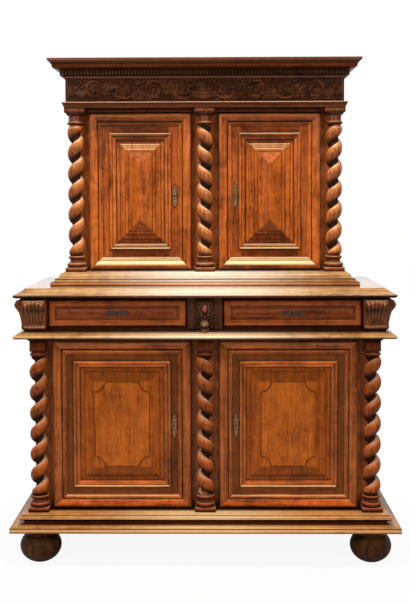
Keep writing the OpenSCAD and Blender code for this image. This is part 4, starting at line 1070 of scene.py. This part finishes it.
# %% Build both consoles
console_w = 0.095
console_half = 0.747
console_y = -0.240
shape = Shape()
rows = scroll_rows(console_w - 0.004, CONSOLE_OUT)
for side in (-1, 1):
    low = (min(side * console_half, side * (console_half - console_w)), console_y, storey_z)
    shape.block(low, (low[0] + console_w, console_y + console_w, storey_z + storey_h))
    mid = side * (console_half - console_w / 2)
    shape.grid([[(mid + a, console_y - o, storey_z + z) for a, o, z in row] for row in rows])
    shape.grid([[(side * (console_half + o), console_y + console_w / 2 - 0.002 + a, storey_z + z)
                 for a, o, z in row] for row in rows], flip=side < 0)
console_wood = walnut("console_walnut", tones(0.175, 0.042, 0.006, 0.9), reach=0.016, wear=0.8, spec=0.3,
                      band=60.0, top_highlight=0.6, grime_and_shade=0.99)
consoles = shape.piece("carved_consoles", console_wood, "lower_case", sharp=55.0)
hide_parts("corner_consoles")

# %% [markdown]
# ## The bracket between the drawers
# An upright keystone with fluted strips at both sides. Its leaves and two small volutes are carved as one
# height map. The smooth oval jewel and the ribbed boss below it are domes of their own, because they are
# polished and the leaves aren't. A small tongue laps over the waist board.

# %% Carve the bracket
JEWEL_Z, BOSS_Z = 0.090, 0.024
BRACKET_THICK = 0.012
bracket_low, bracket_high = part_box("centre_bracket")
plate_face = bracket_high.y - BRACKET_THICK
xs = np.linspace(-bracket_high.x, bracket_high.x, 166)
zs = np.linspace(0.003, bracket_high.z - bracket_low.z, 150)
off = np.abs(xs)[:, None]
flutes = 0.0030 * np.abs(np.sin(np.pi * (off - 0.040) / 0.0080)) * (off > 0.0405)
line = scroll_line(BRACKET_OUT)
belly = np.interp(zs, line[:, 1], line[:, 0] + 0.004)
field = np.maximum(flutes, belly * 0.62 * np.clip(1 - (off / 0.037) ** 4, 0, None) ** 0.5)
LEAVES = ((0.014, 0.060, 0.035, 0.084, 0.0060, 0.25), (0.016, 0.074, 0.037, 0.102, 0.0062, 0.25),
          (0.014, 0.092, 0.034, 0.119, 0.0058, 0.22), (0.008, 0.106, 0.020, 0.129, 0.0050, 0.18),
          (0.010, 0.050, 0.030, 0.066, 0.0052, 0.22))  # root x, z, tip x, z, half width, bulge
strokes = []
for side in (-1, 1):
    for x0, z0, x1, z1, wide, bulge in LEAVES:
        strokes.append(stroke(bend((side * x0, z0), (side * x1, z1), side * bulge),
                              (wide * 0.6, wide, wide * 0.9, wide * 0.3), (0.006, 0.0085, 0.007, 0.004)))
    volute = [(side * (0.030 + (0.0135 - 0.010 * t) * math.cos(math.radians(150 - 560 * t))),
               0.027 + (0.0135 - 0.010 * t) * math.sin(math.radians(150 - 560 * t))) for t in np.linspace(0, 1, 40)]
    strokes.append(stroke(volute, (0.0036, 0.0034, 0.0034), (0.010, 0.010, 0.012)))
    strokes.append(stroke(bend((side * 0.018, 0.044), (side * 0.046, 0.050), side * 0.25),
                          (0.0030, 0.0046, 0.0024), (0.006, 0.008, 0.004)))
strokes.append(stroke([(0.0, 0.056), (0.0, 0.046)], (0.0065, 0.0050), (0.010, 0.009)))
rim = [(0.0200 * math.cos(a), JEWEL_Z + 0.0300 * math.sin(a)) for a in np.linspace(0, 2 * math.pi, 80)]
strokes.append(stroke(rim, (0.0030, 0.0030), (0.0085, 0.0085)))
bracket_wood = walnut("bracket_walnut", tones(0.100, 0.030, 0.010), grime_and_shade=0.95, reach=0.010, wear=0.30, coat=0.3)
bracket = relief("carved_bracket", xs, zs, field + heights(xs, zs, strokes), (0, plate_face, storey_z),
                 (1, 0, 0), (0, -1, 0), bracket_wood, "lower_case", skirt=BRACKET_THICK - 0.0002)
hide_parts("centre_bracket")


# %% The jewel and the boss
def dome(name, z, half_x, half_z, sunk, tall, ribs, finish):
    """A dome on the bracket. ribs is how many, or 0 for a smooth one."""
    rows = []
    for a in [math.radians(90 * k / 14) for k in range(14)]:
        row = []
        for b in [2 * math.pi * j / 72 for j in range(72)]:
            rib = 1 - (0.14 * (1 - abs(math.cos(ribs * b / 2))) * math.cos(a) if ribs else 0.0)
            row.append((half_x * math.cos(a) * rib * math.cos(b), plate_face - sunk - tall * math.sin(a),
                        storey_z + z + half_z * math.cos(a) * rib * math.sin(b)))
        rows.append(row)
    shape = Shape()
    shape.tube(rows)
    shape.piece(name, finish, "lower_case")


jewel_wood = walnut("jewel_walnut", tones(0.30, 0.060, 0.018), reach=0.006, coat=0.8, spec=0.5)
dome("bracket_jewel", JEWEL_Z, 0.0150, 0.0245, 0.004, 0.022, 0, jewel_wood)
boss_wood = walnut("boss_walnut", tones(0.26, 0.120, 0.045), reach=0.006, coat=0.5, spec=0.5, gloss=0.24)
dome("bracket_boss", BOSS_Z, 0.0210, 0.0200, 0.004, 0.026, 7, boss_wood)

# %% The tongue
waist_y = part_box("waist_board")[0].y
spine = np.array([(plate_face - 0.004, 0.0075, 0.018), (plate_face - 0.018, 0.0065, 0.019),
                  (waist_y + 0.037, 0.0025, 0.017), (waist_y + 0.028, -0.0030, 0.011),
                  (waist_y + 0.021, -0.0070, 0.003)])  # y, height over the waist board, half width
rows = []
for t in np.linspace(0, len(spine) - 1, 31):
    y, z, w = [np.interp(t, range(len(spine)), column) for column in spine.T]
    row = []
    for u in np.linspace(-1, 1, 33):
        swell = 0.0050 * math.sqrt(max(0.0, 1 - u * u)) - 0.0012 * abs(math.sin(1.5 * math.pi * u))
        swell *= min(1.0, w / 0.012)
        row.append((u * w, y - swell * 0.5, storey_z + z + swell * 0.8))
    rows.append(row)
shape = Shape()
shape.grid(rows, flip=True)
left, right = [row[0] for row in rows], [row[-1] for row in rows]
shape.grid([left, [(x, y + 0.001, z - 0.004) for x, y, z in left]])
shape.grid([[(x, y + 0.001, z - 0.004) for x, y, z in right], right])
shape.piece("bracket_tongue", bracket_wood, "lower_case")

# %% [markdown]
# ## Openwork on the key plates
# Each key plate is a strip of old brass with scrolls. The plate and its keyhole come from the CAD. The
# scrolls are half-round wires laid on it: a ring round the keyhole, two pairs of curls and a tip at both
# ends. On the doors they are worn bright, and on the drawers they are as brown as the plate behind them.

# %% Wires along the scrolls of a plate
def ring_path(u, v, ru, rv, end=360.0, n=22):
    return [(u + ru * math.cos(math.radians(a)), v + rv * math.sin(math.radians(a))) for a in np.linspace(0, end, n)]


def plate_scrolls(name, body, centre, standing, finish, half=0.0013, tall=0.0016):
    """The scrolls of one plate, centred on its keyhole: half-round wires along paths of (along, across)."""
    paths = [ring_path(0.0, 0.0, 0.0085, 0.0062)]
    for way in (-1, 1):
        for across in (-1, 1):
            paths.append([(way * (0.009 + 0.0125 * t), across * 0.0072 * math.sin(math.pi * t) ** 0.8)
                          for t in np.linspace(0.0, 1.0, 12)])
            paths.append(ring_path(way * 0.0275, across * 0.0048, 0.0050, 0.0040, 300.0, 16))
        paths.append([(way * (0.021 + 0.018 * t), 0.0006 * math.sin(6 * t)) for t in np.linspace(0.0, 1.0, 8)])
        paths.append(ring_path(way * 0.0405, 0.0, 0.0034, 0.0034, n=14))
    shape = Shape()
    for path in paths:
        rows = []
        for (u, v), (su, sv) in zip(path, slopes(np.array(path, float))):
            row = []
            for a in np.linspace(0, math.pi, 7):
                point = (u - sv * half * math.cos(a), v + su * half * math.cos(a))
                x, z = point[::-1] if standing else point
                row.append((centre[0] + x, centre[1] - tall * math.sin(a), centre[2] + z))
            rows.append(row)
        shape.grid(rows, flip=standing)
    shape.piece(name, finish, body)


# %% Brass for the scrolls, and a set on every plate
def worn_brass(name, light):
    finish = Finish(name)
    clouds = finish.noise(finish.place, 160.0, 3.0, 0.6)
    colour = finish.colours("MIX", finish.step(clouds, 0.35, 0.65), tuple(c * 0.33 for c in light), light)
    colour = finish.colours("MIX", 1.0 - finish.step(hollow(finish, 0.003), 0.3, 0.9), colour, (0.02, 0.012, 0.006))
    return finish.close(Base_Color=colour, Metallic=finish.step(clouds, 0.3, 0.7) * 0.5,
                        Roughness=0.28 + clouds * 0.2, Normal=finish.bump(0.3, 0.0003, clouds))


door_brass = worn_brass("door_brass", (0.60, 0.31, 0.11))
drawer_brass = worn_brass("drawer_brass", (0.13, 0.052, 0.017))
KEY_X, KEY_Z = 0.130, {"lower": 0.562, "upper": 1.527}
for door in DOORS:
    centre = (KEY_X if door.endswith("right") else -KEY_X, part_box(door + "_lock")[0].y, KEY_Z[door.split("_")[0]])
    plate_scrolls("scrolls_" + door, door, centre, True, door_brass)
for drawer in DRAWERS:
    front = Ring(drawer + "_front")
    centre = (front.x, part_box(drawer + "_lock")[0].y, front.z)
    plate_scrolls("scrolls_" + drawer, drawer, centre, False, drawer_brass)

# %% [markdown]
# ## The room
# A pale floor and a white surround. The camera sees the surround as pure white and so do rays through
# glass. Glossy rays see white behind the cabinet, which gives varnish its bright sheen at a shallow angle,
# and a dim room before it, while the light that falls on the wood stays at a plain level. The floor keeps
# the cabinet's shadow.

# %% Floor and surround
WHITE = (1.0, 1.0, 1.0, 1.0)


def surround(plain, ahead, behind):
    """White to the camera. Glossy rays see a white wall behind the cabinet and a dim room before it."""
    world = bpy.data.worlds.new("surround")
    air = Finish(world=world)
    x, y, z = air.spot
    mirrored = ahead + (behind - ahead) * air.step(y + z * 0.25, -0.25, 0.30)
    path = air.add("LightPath", out=slice(7))
    camera, glossy, through = path[0], path[3], path[6]
    level = plain + glossy * (mirrored - plain)
    seen = air.clamp(camera + through)
    background = air.add("Background", {}, {"Color": WHITE, "Strength": level * (1.0 - seen) + seen})
    air.add("OutputWorld", {}, {"Surface": background})
    bpy.context.scene.world = world


def floor_finish():
    finish = Finish("pale_floor")
    tint = finish.colours("MIX", finish.noise(finish.place, 1.5, 2.0), (0.74, 0.74, 0.73), (0.78, 0.78, 0.77))
    plain = finish.add("BsdfDiffuse", {}, {"Color": tint})
    glow = finish.add("Emission", {}, {"Color": WHITE, "Strength": 1.0})
    x, y, z = finish.spot
    far = finish.step((x * x * 0.6 + y * y) ** 0.5, 0.45, 1.1)
    mixed = finish.add("MixShader", {}, {0: finish.add("LightPath") * (0.92 + far * 0.08), 1: plain, 2: glow})
    finish.add("OutputMaterial", {}, {"Surface": mixed})
    return finish.material


surround(plain=0.22, ahead=0.10, behind=1.0)
floor_mesh = bpy.data.meshes.new("floor")
floor_mesh.from_pydata([(-14, -9, 0), (14, -9, 0), (14, 16, 0), (-14, 16, 0)], [], [(0, 1, 2, 3)])
floor_mesh.materials.append(floor_finish())
floor = put("floor", floor_mesh)
print("floor laid")

# %% [markdown]
# ## Light
# The real cabinet was lit from above, from a little left of its middle. A small strong lamp overhead gives
# highlights on the rounded upper edges and spots on the columns, and the finishes add painted highlights
# there too. Two wide weak lamps at the sides keep the doors warm. They stand where the flat boards don't
# mirror them into the camera.

# %% Lamps
def lamp(name, at, aim, size, power):
    light = bpy.data.lights.new(name, "AREA")
    light.shape = "RECTANGLE"
    light.size, light.size_y = size
    light.energy = power
    put(name, light, at).rotation_euler = (Vector(aim) - Vector(at)).to_track_quat("-Z", "Y").to_euler()


lamp("overhead", (-0.1, -1.00, 4.2), (0.0, -0.3, 1.0), (1.6, 0.9), 100)
lamp("side_left", (-2.0, -3.5, 2.9), (0.0, -0.1, 1.1), (1.2, 1.4), 68)
lamp("side_right", (2.0, -3.5, 2.9), (0.0, -0.1, 1.1), (1.2, 1.4), 46)

# %% [markdown]
# ## The camera
# The camera stands where the picture was taken: a little right of the middle, at eye height, about four
# metres back. A small vertical shift keeps the uprights upright, as a lens shift does.

# %% Camera and view
IMAGE_H = 604
FOCAL_PX = 955.5
SHIFT_PX = (0.5, -55.8)
SENSOR_H = 36.0
EYE = (0.0434, -4.1395, 1.5358)
TURN, TILT, ROLL = [math.radians(a) for a in (0.64, 90 - 3.14, -0.16)]
camera_data = bpy.data.cameras.new("camera")
camera_data.sensor_fit = "VERTICAL"
camera_data.sensor_height = SENSOR_H
camera_data.lens = FOCAL_PX / IMAGE_H * SENSOR_H
camera_data.shift_x, camera_data.shift_y = [shift / IMAGE_H for shift in SHIFT_PX]
camera = put("camera", camera_data)
camera.matrix_world = (Matrix.Translation(EYE) @ Matrix.Rotation(TURN, 4, "Z") @ Matrix.Rotation(TILT, 4, "X")
                       @ Matrix.Rotation(ROLL, 4, "Z"))
bpy.context.scene.camera = camera
bpy.context.scene.view_settings.view_transform = "Standard"
print("lens", round(camera_data.lens, 1), "mm")
